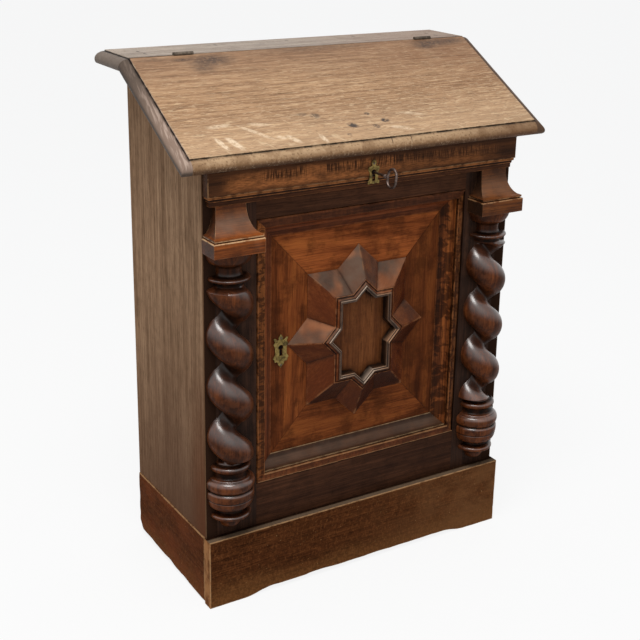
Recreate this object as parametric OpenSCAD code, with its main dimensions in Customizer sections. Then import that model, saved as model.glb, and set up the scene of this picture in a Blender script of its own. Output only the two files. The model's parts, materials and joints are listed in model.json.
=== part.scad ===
// Secretaire chest: a slope-top desk well over a cupboard with a star-fronted door.
// Width runs along X, the front faces -Y, height is +Z and the floor is z = 0.
// X = 0 is the middle of the chest. Y = 0 is the middle of its whole depth,
// from the back edge of the top board to the bow of the key in the desk lock.

/* [Carcass] */
// Height of the top board's upper face above the floor
total_h = 917; // [880:1:960]
// Width across the two side panels
carcass_w = 616; // [570:1:700]
// Depth from the face frame's front to the back boards' outer face
carcass_d = 279; // [250:1:360]
// Thickness of the side panels
side_t = 22; // [18:0.5:26]
// Thickness of the back boards
back_t = 12; // [8:0.5:16]
// Number of upright back boards
back_count = 4; // [3:1:6]
// Thickness of the cupboard floor, shelf and desk floor
floor_t = 16; // [12:0.5:18]
// Depth of the housings cut in the side panels for the floors
housing = 7; // [4:0.5:9]
// Height of the shelf's underside as a share of the cupboard's height
shelf_share = 0.47; // [0.3:0.01:0.65]
// Distance from the face frame's front to the shelf's front edge
shelf_set = 62; // [55:1:120]
// Height and width of the shelf battens
batten = 18; // [14:1:24]
// Height of the desk floor's upper face above the door opening
desk_floor_rise = 22; // [20:0.5:28]

/* [Plinth] */
// Height of the plinth
plinth_h = 128; // [110:1:150]
// Thickness of the plinth's front board
plinth_front_t = 22; // [20:0.5:28]
// Width of the ledge on top of the front board, ahead of the face frame
plinth_ledge = 18; // [14:0.5:19]
// Thickness of the plinth's side and back boards
plinth_side_t = 20; // [16:0.5:24]
// How far the plinth's sides stand out from the side panels
plinth_proud = 2; // [0.5:0.1:5]
// Length of each foot left flat at the ends of the front board
foot_len = 69; // [50:1:110]
// Length of the curve between a foot and the raised middle
foot_sweep = 56; // [36:1:80]
// Height of the raised middle of the front board's lower edge
foot_lift = 8; // [4:0.5:16]
// How far the plinth's sides are worn off the floor at the front
side_worn_front = 3; // [0:0.5:6]
// How far the plinth's sides are worn off the floor near the back
side_worn_back = 13; // [0:0.5:18]
// Side of the glued corner blocks
corner_block = 36; // [24:1:44]

/* [Lid and top board] */
// Slope of the lid in degrees
lid_slope = 29; // [27:0.5:30]
// Share of the carcass's depth that the slope takes, from the face frame to the hinge line
slope_share = 0.6946; // [0.65:0.0002:0.74]
// How far the lid's upper front edge stands out ahead of the face frame
lid_front_over = 40.6; // [34:0.2:50]
// Thickness of the lid
lid_t = 22; // [20:0.5:24]
// Thickness of the top board
top_t = 22; // [20:0.5:26]
// How far the lid and top board stand out past each side panel
lid_over = 48; // [36:1:60]
// How far the top board stands out behind the back
top_back_over = 21; // [12:1:30]
// Width of the thumb moulding round the lid and top board
thumb_w = 17.9; // [14:0.1:22]
// Depth of the thumb moulding's widest point below the upper face
thumb_drop = 14.5; // [12:0.1:17]
// Depth of the small step where the moulding starts
thumb_step = 2; // [1:0.1:3]
// Undercut of the moulding's lower edge
thumb_nose = 5; // [3:0.1:8]

/* [Face frame and frieze] */
// Thickness of the face frame
face_t = 22; // [20:0.5:26]
// Gap round the door
door_gap = 1.2; // [1:0.1:2]
// Length of the rail tenons
tenon_len = 26; // [16:1:40]
// Thickness of the rail tenons
tenon_t = 7; // [5:0.5:9]
// Width of the stiles between the side panels and the door opening
stile_w = 75.3; // [66:0.1:84]
// Height of the bottom rail above the plinth
bottom_rail_h = 78.8; // [60:0.2:96]
// Height of the top rail that shows between the door opening and the moulding
top_rail_show = 33; // [28:0.2:42]
// Height of the frieze's front face
frieze_h = 45.8; // [40:0.2:54]
// Thickness of the frieze board
frieze_t = 18; // [15:0.5:22]
// How far the frieze stops short of the carcass at each end
frieze_inset = 2.5; // [0.5:0.1:8]
// Height of the stepped moulding under the frieze
cornice_h = 17; // [13:0.5:19]
// How far that moulding stands out from the face frame at its lower edge
cornice_reach = 12; // [9:0.5:14]

/* [Columns and capitals] */
// Distance between a capital block and the door opening
cap_clear = 6.3; // [5:0.1:10]
// How far the capital block stands out from the face frame, as a share of its width
cap_reach_share = 0.47; // [0.47:0.01:0.55]
// Height of the capital block
cap_block_h = 24.5; // [18:0.5:30]
// Height of the capital's flared neck, with its lower fillet
cap_flare_h = 50.8; // [44:0.2:56]
// Width of the flared neck at its top, as a share of the block's width
cap_top_share = 0.59; // [0.5:0.01:0.7]
// Largest radius of the twisted part, as a share of the block's width
twist_share = 0.45; // [0.4:0.005:0.46]
// Radius of the twist's core at the bottom of the groove, as a share of its largest radius
twist_core_share = 0.28; // [0.2:0.01:0.44]
// Number of turns in the twist
twist_turns = 3.5; // [2.5:0.1:4.5]
// Share of the pitch that the rounded band covers on each side of its crest
twist_band = 0.38; // [0.3:0.01:0.42]
// Height of the turned foot, rings and bowl below the twist
turned_base_h = 125; // [118:1:132]
// Height of the neck ring, neck and cushion above the twist
turned_neck_h = 57; // [52:1:62]
// Gap between the plinth ledge and the turned foot
foot_gap = 15; // [8:1:20]

/* [Door] */
// How far the door stands out from the face frame
door_proud = 2.2; // [0:0.1:4]
// Width of the flat band round the door
band_w = 14.1; // [12:0.1:20]
// Width of the hollow moulding inside the band
hollow_w = 24; // [18:0.5:30]
// Step down from the band to the hollow moulding
hollow_step = 6.3; // [4:0.1:8]
// Depth that the hollow moulding falls to the panel
hollow_drop = 16.5; // [12:0.1:17]
// Thickness of the four mitred field boards
field_t = 2.2; // [1.6:0.1:3]
// Thickness of the panel that carries them
panel_t = 5; // [4:0.1:6]
// Depth of the groove that holds the panel
panel_groove = 9; // [6:0.5:14]
// Thickness of the door frame behind the panel
panel_lip = 2; // [1:0.1:6]
// Distance of the door's pivot from its right edge and its front
pivot_inset = 8; // [6:0.5:9]
// Radius of the pivot pins
pivot_r = 3; // [2.5:0.1:3.2]
// Clearance round the pivot pins
pivot_clear = 0.06; // [0.02:0.01:0.1]
// Length of the pivot pins in the door
pivot_len = 10; // [6:1:14]

/* [Star] */
// Height of the star, as a share of the field's height
star_share = 0.815; // [0.7:0.005:0.88]
// Width of the star's rectangle, as a share of the star's width
star_w_share = 0.72; // [0.66:0.005:0.78]
// Height of the star's rectangle, as a share of the star's height
star_h_share = 0.752; // [0.68:0.002:0.8]
// Width of the top and bottom points, as a share of the rectangle's width
root_w_share = 0.409; // [0.34:0.001:0.46]
// Height of the side points, as a share of the rectangle's height
root_h_share = 0.348; // [0.3:0.001:0.4]
// Width of the sloping facets, as a share of half the rectangle's width
facet_share = 0.48; // [0.38:0.01:0.52]
// Height of the facets' inner edge above the panel
facet_rise = 29.3; // [22:0.1:32]
// Thickness of the facets' outer edge
facet_edge = 1.2; // [0.6:0.1:3]
// Width of each of the two steps of the bead
bead_w = 3; // [2:0.1:4]
// Height of the bead's outer step above the facets' inner edge
bead_lift = 1.4; // [0.6:0.1:2.4]
// Height of the tablet above the panel
tablet_rise = 13.6; // [8:0.1:18]

/* [Locks and key] */
// Width of each lock case
lock_w = 60; // [52:1:70]
// Distance from the key's axis to the far side of the lock's edge plate
lock_reach = 52.9; // [50:0.1:58]
// Distance from the key's axis to the lock case's other end
lock_below = 22; // [20:1:28]
// Depth of each lock case
lock_d = 11; // [10.5:0.1:12]
// Thickness of the lock's plates
lock_wall = 1.5; // [1:0.1:2]
// Thickness of the lock's edge plate
lock_edge_t = 2; // [1.5:0.1:3]
// Width of the bolts
bolt_w = 22; // [16:1:26]
// Thickness of the bolts
bolt_t = 5; // [4:0.1:5.4]
// Travel of the bolts
bolt_throw = 10; // [8:0.5:11]
// Running clearance round the bolts
bolt_clear = 0.3; // [0.2:0.05:0.5]
// Distance of the desk lock from the face frame's front
desk_lock_set = 10; // [8:0.5:12]
// Distance of the door lock's edge plate from the door's left edge
lock_margin = 3.6; // [2:0.1:6]
// Height of the door's keyhole as a share of the door's height
door_key_share = 0.496; // [0.4:0.002:0.6]
// Radius of the key's shank
shank_r = 2.1; // [1.8:0.1:2.4]
// How far the shank stands out ahead of the frieze
key_out = 39.5; // [30:0.5:50]
// Length of the bit below the key's axis
bit_len = 15.5; // [12:0.5:16]
// Radius of the bow's centre line at its two ends
bow_r = 11.7; // [9:0.1:15]
// Length of the bow's straight sides
bow_straight = 7; // [2:0.5:14]
// Radius of the bow's wire
bow_wire = 2.2; // [1.4:0.1:2.4]
// Thickness of the escutcheons
plate_t = 1.6; // [1:0.1:2.4]

/* [Hinges] */
// Distance of each lid hinge's middle from the end of the lid
hinge_end = 113; // [80:1:150]
// Length of each hinge
hinge_len = 36; // [30:1:50]
// Radius of the hinge knuckle
knuckle_r = 3; // [2.6:0.1:3.6]
// Radius of the hinge pin
hinge_pin_r = 1.2; // [1:0.1:1.5]
// Width of each hinge leaf
leaf_w = 18; // [14:0.5:19]
// Thickness of each hinge leaf
leaf_t = 1.6; // [1.2:0.1:2]
// Height of the hinge axis above the lid's surface
hinge_lift = 1.5; // [1:0.1:2.5]

/* [Hidden] */
$fn = 48;

half_w = carcass_w / 2;
lid_half = half_w + lid_over;
inner_half = half_w - side_t;

// Front to back: the key's bow is the foremost thing and the top board the hindmost
bow_depth = 2 * (bow_r + bow_wire);
front_reach = frieze_t + key_out + bow_depth;
total_d = front_reach + carcass_d + top_back_over;
face_y = front_reach - total_d / 2;
face_back = face_y + face_t;
frieze_y = face_y - frieze_t;
back_y = face_y + carcass_d;
back_inner = back_y - back_t;
slope_run = carcass_d * slope_share;
hinge_y = face_y + slope_run;

// Small gaps
seat_gap = 0.3;
joint_gap = 0.4;
mitre_gap = 0.1;
board_gap = 0.6;

// The lid's underside, as a height over y, with the gap that it closes to
function under_lid(y) = total_h - (hinge_y - y) * tan(lid_slope) - lid_t / cos(lid_slope) - seat_gap;
top_under = total_h - top_t;
lid_meets_top = hinge_y + (top_under - under_lid(hinge_y)) / tan(lid_slope);
lid_len = (slope_run + lid_front_over) / cos(lid_slope);
hinge_x = lid_half - hinge_end;

// Face frame, from the lid downwards and from the plinth upwards
frieze_z = under_lid(frieze_y) - frieze_h;
cornice_z = frieze_z - cornice_h;
open_z1 = cornice_z - top_rail_show;
open_z0 = plinth_h + bottom_rail_h;
open_half = inner_half - stile_w;

// Door
door_w = 2 * (open_half - door_gap);
door_h = open_z1 - open_z0 - 2 * door_gap;
door_z = open_z0 + door_gap;
door_t = hollow_step + hollow_drop + field_t + panel_t + panel_lip;
door_mid = door_z + door_h / 2;
door_front = face_y - door_proud;
door_back = door_front + door_t;
field_y = door_front + hollow_step + hollow_drop;
panel_y = field_y + field_t;
field_half_w = door_w / 2 - band_w - hollow_w;
field_half_h = door_h / 2 - band_w - hollow_w;
pivot_x = door_w / 2 - pivot_inset;
pivot_y = door_front + pivot_inset;
pivot_plate_t = 2.2;
pivot_plate_len = 40;
pivot_plate_w = 11;
pivot_plate_end = 6;
socket_plate_end = 5;
socket_plate_set = 2;

// Floors
floor_drop = 2;
batten_set = 8;
cupboard_floor_z = open_z0 - floor_drop - floor_t;
desk_floor_z = open_z1 + desk_floor_rise - floor_t;
cupboard_z = cupboard_floor_z + floor_t;
shelf_z = cupboard_z + (desk_floor_z - cupboard_z) * shelf_share;

// Columns
cap_w = side_t + stile_w - cap_clear;
cap_reach = cap_w * cap_reach_share;
cap_top_w = cap_w * cap_top_share;
col_x = half_w - cap_w / 2;
cap_z = cornice_z - cap_flare_h - cap_block_h;
foot_z = plinth_h + foot_gap;
twist_z0 = foot_z + turned_base_h;
twist_z1 = cap_z - turned_neck_h;
twist_r = cap_w * twist_share;
twist_core = twist_r * twist_core_share;
twist_end_r = twist_r * 0.7;
twist_fade = twist_r / 2;
twist_pitch = (twist_z1 - twist_z0) / twist_turns;
twist_rings = 86;
twist_seat = 1;
twist_sides = 20;
// Height of a band's crest on the left column's outer side
left_crest = twist_z0 + twist_pitch * 1.54;

// Locks
desk_key_z = under_lid(face_y + desk_lock_set) - lock_reach;
desk_lock_y = face_y + desk_lock_set;
door_key_z = door_z + door_h * door_key_share;
door_key_x = door_w / 2 - lock_margin - lock_reach;
bolt_y = 3.5;
cap_t = 1.2;
plate_half_w = 12.4;
key_hole_r = 5;
key_slot_w = 6.4;
key_slot_len = bit_len + 0.7;
case_hole_r = 3.2;
case_slot_w = 4.6;
bolt_z0 = bit_len + 3;
stump_r = 2;
stump_z = bolt_z0 + 3.5 + bolt_throw + stump_r;
rib_x = bolt_w / 2 + 5;
rib_z0 = bolt_z0 + 1;
rib_z1 = lock_reach - lock_edge_t - lock_wall - 1;
spring_t = 0.8;

// Builders

// Outline in (y, z), carried along x from x0 over w
module along_x(x0, w) {
    translate([x0, 0, 0]) rotate([90, 0, 90]) linear_extrude(w) children();
}

// Outline in (x, z), carried along y from y0 over d
module along_y(y0, d) {
    translate([0, y0 + d, 0]) rotate([90, 0, 0]) linear_extrude(d) children();
}

// A block given by its lowest and highest corners
module block(a, b) {
    translate(a) cube(b - a);
}

function reversed(pts) = [for (i = [len(pts) - 1:-1:0]) pts[i]];

// Thumb moulding's outline at an outer edge u = 0, for a board t thick whose upper face is at 0
function thumb(t) = concat(
    [[-thumb_w, 0]],
    [for (a = [0:9:90]) [-thumb_w + thumb_w * sin(a), -thumb_drop + (thumb_drop - thumb_step) * cos(a)]],
    [for (a = [15:15:90]) [-thumb_nose + thumb_nose * cos(a), -thumb_drop - (t - thumb_drop) * sin(a)]]
);

// A board's cross-section with a thumb moulding on its left and right edges
function moulded_section(t) = concat(
    [for (p = thumb(t)) [lid_half + p.x, p.y]],
    [for (p = reversed(thumb(t))) [-lid_half - p.x, p.y]]
);

// Keyhole with its slot pointing down, as an outline
module keyhole(r, w, l) {
    circle(r = r);
    translate([-w / 2, -l]) square([w, l]);
}

// Lid frame: origin on the hinge line at the upper face, y up the slope, z off the face
module in_lid() {
    translate([0, hinge_y, total_h]) rotate([lid_slope, 0, 0]) children();
}

// Hinge frame: origin on the hinge axis, z up the plane where lid and top board meet
module in_hinge() {
    translate([0, hinge_y, total_h]) rotate([lid_slope / 2, 0, 0]) translate([0, 0, hinge_lift]) children();
}

module at_hinges() {
    for (s = [-1, 1]) translate([s * hinge_x, 0, 0]) children();
}

// Carcass

wood_side = [0.42, 0.31, 0.22];
wood_top = [0.56, 0.42, 0.29];
wood_dark = [0.22, 0.12, 0.08];
wood_red = [0.44, 0.20, 0.10];
wood_plinth = [0.33, 0.19, 0.12];
wood_inner = [0.60, 0.47, 0.33];
brass = [0.55, 0.45, 0.22];
iron = [0.22, 0.21, 0.20];
steel = [0.42, 0.40, 0.39];
rebate = 10;

module side_panel(s) {
    x0 = s < 0 ? -half_w : inner_half;
    groove_x = s < 0 ? -inner_half - housing : inner_half - 1;
    color(wood_side) difference() {
        along_x(x0, side_t) polygon([
            [face_y, plinth_h], [back_y, plinth_h], [back_y, top_under],
            [lid_meets_top, top_under], [face_y, under_lid(face_y)]
        ]);
        for (z = [cupboard_floor_z, desk_floor_z])
            block([groove_x, face_back, z], [groove_x + housing + 1, back_inner, z + floor_t]);
        rebate_x = s < 0 ? -inner_half - rebate : inner_half - 1;
        block([rebate_x, back_inner, plinth_h - 1], [rebate_x + rebate + 1, back_y + 1, top_under + 1]);
        nail_holes();
    }
}

module side_panel_left() side_panel(-1);
module side_panel_right() side_panel(1);

module back_boards() {
    span = 2 * (inner_half + rebate);
    board = (span - (back_count - 1) * board_gap) / back_count;
    color(wood_inner) difference() {
        for (i = [0:back_count - 1])
            block([-span / 2 + i * (board + board_gap), back_inner, plinth_h],
                  [-span / 2 + i * (board + board_gap) + board, back_y, top_under]);
        nail_holes();
    }
}

module floor_board(z) {
    block([-inner_half - housing, face_back, z], [inner_half + housing, back_inner, z + floor_t]);
}

module cupboard_floor() color(wood_inner) floor_board(cupboard_floor_z);
module desk_floor() color(wood_inner) floor_board(desk_floor_z);

module cupboard_shelf() {
    color(wood_inner)
        block([-inner_half + board_gap, face_y + shelf_set, shelf_z],
              [inner_half - board_gap, back_inner, shelf_z + floor_t]);
}

module shelf_battens() {
    color(wood_inner) for (s = [0, 1]) mirror([s, 0, 0])
        block([inner_half - batten, face_y + shelf_set + batten_set, shelf_z - batten],
              [inner_half, back_inner, shelf_z]);
}

// Top board, with its front edge cut back under the hinge line
module top_board() {
    y1 = back_y + top_back_over;
    color(wood_top) difference() {
        intersection() {
            along_x(-lid_half, 2 * lid_half) polygon([
                [hinge_y + joint_gap, total_h], [y1, total_h], [y1, top_under],
                [hinge_y + joint_gap + top_t * tan(lid_slope / 2), top_under]
            ]);
            translate([0, 0, total_h]) along_y(hinge_y, y1 - hinge_y) polygon(moulded_section(top_t));
        }
        nail_holes();
        hinge_recess(1);
    }
}

// Cut nails that hold the top board down
nail_r = top_t * 0.077;
nail_len = top_t * 2.2;
module nails_at(r) {
    for (s = [-1, 1], k = [0.3, 0.7])
        translate([s * (half_w - side_t / 2), lid_meets_top + (back_y - lid_meets_top) * k,
                   total_h - nail_len])
            cylinder(r = r, h = nail_len);
    for (x = [-inner_half / 2, 0, inner_half / 2])
        translate([x, back_y - back_t / 2, total_h - nail_len]) cylinder(r = r, h = nail_len);
}
module nail_holes() nails_at(nail_r);
module top_nails() color(iron) nails_at(nail_r);

// Plinth

plinth_half = half_w + plinth_proud;
plinth_y0 = face_y - plinth_ledge;
plinth_y1 = plinth_y0 + plinth_front_t;

module plinth_front() {
    x1 = plinth_half - foot_len;
    x2 = x1 - foot_sweep;
    sweep = [for (i = [0:12]) [x1 - foot_sweep * i / 12, foot_lift * (1 - cos(15 * i)) / 2]];
    color(wood_plinth) along_y(plinth_y0, plinth_front_t) polygon(concat(
        [[-plinth_half, 0], [-plinth_half, plinth_h], [plinth_half, plinth_h], [plinth_half, 0]],
        sweep,
        [for (p = reversed(sweep)) [-p.x, p.y]]
    ));
}

module plinth_side() {
    corner = 12;
    color(wood_plinth) along_x(plinth_half - plinth_side_t, plinth_side_t) polygon([
        [plinth_y1, side_worn_front], [back_y - corner, side_worn_back],
        [back_y, side_worn_back + 1.4 * corner], [back_y, plinth_h], [plinth_y1, plinth_h]
    ]);
}

module plinth_left() mirror([1, 0, 0]) plinth_side();
module plinth_right() plinth_side();

module plinth_back() {
    x = plinth_half - plinth_side_t;
    color(wood_plinth) block([-x, back_y - plinth_side_t, 0], [x, back_y, plinth_h]);
}

module plinth_blocks() {
    x = plinth_half - plinth_side_t;
    color(wood_inner) for (s = [0, 1]) mirror([s, 0, 0]) {
        glue_block(x, plinth_y1, -1, 1);
        glue_block(x, back_y - plinth_side_t, -1, -1);
    }
}

// Three-cornered glue block in the corner (x, y), opening towards sx and sy
module glue_block(x, y, sx, sy) {
    low = side_worn_back + 4;
    translate([x, y, low]) linear_extrude(plinth_h - low)
        polygon([[0, 0], [sx * corner_block, 0], [0, sy * corner_block]]);
}

// Face frame

module sloped_top(x0, w, y0, y1, z0) {
    along_x(x0, w) polygon([[y0, z0], [y1, z0], [y1, under_lid(y1)], [y0, under_lid(y0)]]);
}

tenon_y = face_y + (face_t - tenon_t) / 2;
tenon_shoulder = 8;

// Tenon block of a rail whose lower and upper edges are z0 and z1, at the left or right end
module tenon(s, z0, z1) {
    x0 = s < 0 ? -open_half - tenon_len : open_half;
    block([x0, tenon_y, z0 + tenon_shoulder], [x0 + tenon_len, tenon_y + tenon_t, z1 - tenon_shoulder]);
}

top_tenon_z1 = under_lid(face_y);

module stile(s) {
    x0 = s < 0 ? -inner_half : open_half;
    color(wood_dark) difference() {
        sloped_top(x0, inner_half - open_half, face_y, face_back, plinth_h);
        tenon(s, plinth_h, open_z0);
        tenon(s, open_z1, top_tenon_z1);
    }
}

module stile_left() stile(-1);
module stile_right() stile(1);

module bottom_rail() {
    color(wood_dark) difference() {
        union() {
            block([-open_half, face_y, plinth_h], [open_half, face_back, open_z0]);
            for (s = [-1, 1]) tenon(s, plinth_h, open_z0);
        }
        pivot_plate(open_z0 - pivot_plate_t);
    }
}

module top_rail() {
    color(wood_dark) difference() {
        union() {
            sloped_top(-open_half, 2 * open_half, face_y, face_back, open_z1);
            for (s = [-1, 1]) tenon(s, open_z1, top_tenon_z1);
        }
        pivot_plate(open_z1);
        desk_lock_space();
        desk_keyway(face_y - 1, desk_lock_set + 2);
    }
}

module desk_lock_space() {
    z1 = desk_key_z + lock_reach;
    block([-lock_w / 2, desk_lock_y, desk_key_z - lock_below], [lock_w / 2, face_back + 1, z1 + lid_t]);
    block([-lock_w / 2 - 4, desk_lock_y, z1 - lock_edge_t], [lock_w / 2 + 4, face_back + 1, z1 + lid_t]);
}

module desk_keyway(y, d) {
    translate([0, 0, desk_key_z]) along_y(y, d) keyhole(key_hole_r, key_slot_w, key_slot_len);
}

module frieze() {
    x = half_w - frieze_inset;
    color(wood_red) difference() {
        sloped_top(-x, 2 * x, frieze_y, face_y, frieze_z);
        desk_keyway(frieze_y - 1, frieze_t + 2);
    }
}

// Stepped moulding under the frieze, returned round its ends; r is the distance from the face
function cornice_pts() = [
    [0, 0], [frieze_t - 2, 0], [frieze_t - 2, -4], [frieze_t - 4.5, -5.5], [frieze_t - 4.5, -8.5],
    [cornice_reach + 0.6, -10], [cornice_reach, -12.5], [cornice_reach, -cornice_h], [0, -cornice_h]
];

module cornice_moulding() {
    x = half_w - frieze_inset;
    ends = [for (p = cornice_pts()) [x - frieze_t + p.x, p.y]];
    color(wood_red) difference() {
        intersection() {
            along_x(-x, 2 * x) polygon([for (p = cornice_pts()) [face_y - p.x, frieze_z + p.y]]);
            along_y(frieze_y, frieze_t) polygon([
                for (p = concat([for (q = ends) if (q.x > x - frieze_t) q],
                                [for (q = reversed(ends)) if (q.x > x - frieze_t) [-q.x, q.y]]))
                    [p.x, frieze_z + p.y]
            ]);
        }
        desk_keyway(frieze_y - 1, frieze_t + 2);
    }
}

// Capitals: a square block and a neck that flares down to it in a hollow

cap_lip = 3.5;
cap_quirk = 1.8;
cap_set = 2;

// Hollow curve from (0, 0) at the foot to (dx, h) at the top, as shares of a quarter ellipse
function hollow(dx, h) = [for (a = [0:9:90]) [dx * sin(a), h * (1 - cos(a))]];

module capital(s) {
    lip_z = cap_z + cap_block_h + cap_quirk;
    top_z = cornice_z;
    flare_h = top_z - lip_z - cap_lip;
    side_in = (cap_w - cap_top_w) / 2 - cap_set;
    front_in = cap_reach - cap_set - cornice_reach;
    side = [for (p = hollow(side_in, flare_h)) [cap_w / 2 - cap_set - p.x, lip_z + cap_lip + p.y]];
    front = [for (p = hollow(front_in, flare_h)) [cap_reach - cap_set - p.x, lip_z + cap_lip + p.y]];
    color(wood_red) translate([s * col_x, 0, 0]) {
        block([-cap_w / 2, face_y - cap_reach, cap_z], [cap_w / 2, face_y, cap_z + cap_block_h]);
        block([-cap_w / 2 + 2 * cap_set, face_y - cap_reach + 2 * cap_set, cap_z + cap_block_h - cap_lip / 2],
              [cap_w / 2 - 2 * cap_set, face_y, lip_z + cap_lip / 2]);
        intersection() {
            along_y(face_y - cap_reach, cap_reach) polygon(concat(
                [[cap_w / 2 - cap_set, lip_z]], side, [for (p = reversed(side)) [-p.x, p.y]],
                [[-cap_w / 2 + cap_set, lip_z]]
            ));
            along_x(-cap_w / 2, cap_w) polygon(concat(
                [[face_y, lip_z], [face_y - cap_reach + cap_set, lip_z]],
                [for (p = front) [face_y - p.x, p.y]], [[face_y, top_z]]
            ));
        }
    }
}

module capital_left() capital(-1);
module capital_right() capital(1);

// Split columns: half turnings on the face frame, one turning sawn in two

// Turned outline below the twist, as [radius, height above the foot], for a twist of radius 41
base_drawn_h = 125;
neck_drawn_h = 57;
drawn_r = 41;
end_drawn_r = drawn_r * 0.7;
function base_outline() = concat(
    [[0, 0]],
    [for (a = [0:15:90]) [4 + 14 * sin(a), 8 - 8 * cos(a)]],
    [[19, 15], [24, 20], [32, 22.5], [34.6, 24.5], [35.7, 27.5], [34.8, 30], [30, 31.2], [24.5, 33],
     [23.5, 37], [26, 40.5]],
    [for (a = [0:15:75]) [30 + 11 * sin(a), 58 - 17 * cos(a)]],
    [[40.6, 57.6], [41.6, 59], [41.8, 66], [41.8, 72], [40.4, 73], [38.6, 74.6], [38.6, 75.6], [40, 76.8]],
    [for (a = [-60:20:60]) [33.5 + 9.3 * cos(a), 86.5 + 9.8 * sin(a)]],
    [[36.5, 95.6], [36.5, 98], [33, 99.2], [29, 102.5], [28.5, 106.5], [31, 110.5]],
    [for (a = [-60:30:60]) [31 + 4.4 * cos(a), 116.5 + 4.4 * sin(a)]],
    [[30.5, 121.4], [end_drawn_r, base_drawn_h], [0, base_drawn_h]]
);

// Turned outline above the twist, as [radius, height above the twist]
function neck_outline() = concat(
    [[0, 0], [end_drawn_r, 0], [27, 4], [28.5, 7.5], [32.5, 9]],
    [for (a = [-60:30:60]) [33.6 + 2.9 * cos(a), 12.4 + 2.9 * sin(a)]],
    [[33, 15.4], [24.5, 16.6], [22, 19.5], [21.6, 26], [22.5, 31.5], [25, 34]],
    [for (a = [0:15:90]) [26 + 14.3 * sin(a), 56 - 20 * cos(a)]],
    [[40.3, neck_drawn_h], [0, neck_drawn_h]]
);

// Half a turning of height h from an outline drawn at height drawn_h
module half_turning(outline, drawn_h, h) {
    rotate([0, 0, 180]) rotate_extrude(angle = 180)
        polygon([for (p = outline) [p.x * twist_r / drawn_r, p.y * h / drawn_h]]);
}

function smooth(t) = let (u = max(0, min(1, t))) u * u * (3 - 2 * u);
function wrapped(t) = t - floor(t + 0.5);
// Radius of the twist at angle a and height z, where crest is a crest's height at angle 180
function twist_radius(a, z, crest) =
    let (
        t = wrapped((z - crest) / twist_pitch + (a - 180) / 360) / twist_band,
        band = twist_core + (twist_r - twist_core) * pow(max(0, 1 - t * t), 0.55),
        e = smooth((z - twist_z0) / twist_fade) * smooth((twist_z1 - z) / twist_fade)
    ) (twist_end_r - 0.8) * (1 - e) + band * e;

module twist(crest) {
    rings = twist_rings;
    cols = twist_sides + 1;
    pts = [
        for (i = [0:rings], j = [0:twist_sides])
            let (
                z = twist_z0 - twist_seat + (twist_z1 - twist_z0 + 2 * twist_seat) * i / rings,
                a = 180 + 180 * j / twist_sides,
                r = twist_radius(a, z, crest)
            ) [r * cos(a), r * sin(a), z]
    ];
    faces = concat(
        [[for (j = [0:twist_sides]) j]],
        [[for (j = [twist_sides:-1:0]) rings * cols + j]],
        [for (i = [0:rings - 1], j = [0:twist_sides])
            let (k = (j + 1) % cols, b = i * cols, t = b + cols)
            each [[b + j, t + j, t + k], [b + j, t + k, b + k]]]
    );
    polyhedron(pts, faces, convexity = 8);
}

module column(s) {
    crest = s < 0 ? left_crest : left_crest + twist_pitch / 2;
    color(wood_dark) translate([s * col_x, face_y, 0]) {
        translate([0, 0, foot_z]) half_turning(base_outline(), base_drawn_h, turned_base_h);
        twist(crest);
        translate([0, 0, twist_z1]) half_turning(neck_outline(), neck_drawn_h, turned_neck_h);
    }
}

module column_left() column(-1);
module column_right() column(1);

// Door stops and keep, on the back of the left stile

stop_w = 14;
stop_lip = 10;
stop_lip_t = 8;
stop_end_gap = 8;
keep_gap = 4;
keep_inset = 10;
keep_side_gap = 0.4;
keep_half = lock_w / 2 + 6;

module stop_strip(z0, z1) {
    block([-open_half - stop_w, face_back, z0], [-open_half, door_back + seat_gap, z1]);
    block([-open_half - stop_w, door_back + seat_gap, z0],
          [-open_half + stop_lip, door_back + seat_gap + stop_lip_t, z1]);
}

module door_stops() {
    color(wood_inner) {
        stop_strip(open_z0 + stop_end_gap, door_key_z - keep_half - keep_gap);
        stop_strip(door_key_z + keep_half + keep_gap, open_z1 - stop_end_gap);
    }
}

module door_keep() {
    color(iron)
        block([-open_half - stop_w, face_back, door_key_z - keep_half + keep_inset],
              [-open_half - keep_side_gap, door_back + bolt_y - bolt_clear,
               door_key_z + keep_half - keep_inset]);
}

// Pivots at the door's right end, below and above

module pivot_plate(z) {
    block([pivot_x - pivot_plate_len + pivot_plate_end, pivot_y - pivot_plate_w / 2, z],
          [pivot_x + pivot_plate_end, pivot_y + pivot_plate_w / 2, z + pivot_plate_t]);
}

module pivot_pins() {
    color(iron) {
        pivot_plate(open_z0 - pivot_plate_t);
        translate([pivot_x, pivot_y, open_z0]) cylinder(r = pivot_r, h = door_gap + pivot_len);
        pivot_plate(open_z1);
        translate([pivot_x, pivot_y, open_z1 - door_gap - pivot_len])
            cylinder(r = pivot_r, h = door_gap + pivot_len);
    }
}

// Plates let into the door's two ends; over is how far they run out past the ends, for cutting
module socket_plates(over) {
    for (end = [0, 1]) translate([0, 0, end * (door_h - pivot_plate_t) + (end - 1) * over])
        block([pivot_x - pivot_plate_len + pivot_plate_end,
               pivot_y - pivot_plate_w / 2 + socket_plate_set, door_z],
              [pivot_x + socket_plate_end, pivot_y + pivot_plate_w / 2, door_z + pivot_plate_t + over]);
}

module pivot_sockets() {
    color(iron) difference() {
        socket_plates(0);
        translate([pivot_x, pivot_y, door_z - 1]) cylinder(r = pivot_r + pivot_clear, h = door_h + 2);
    }
}

module pivot_wells() {
    for (z = [door_z - 1, door_z + door_h - pivot_len - 1])
        translate([pivot_x, pivot_y, z]) cylinder(r = pivot_r + 0.5, h = pivot_len + 2);
}

// Lid hinges: butt hinges let into the meeting edges, fixed leaf behind, lid leaf in front

middle_knuckle = hinge_len * 0.38;
leaf_gap = 0.15;

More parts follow.
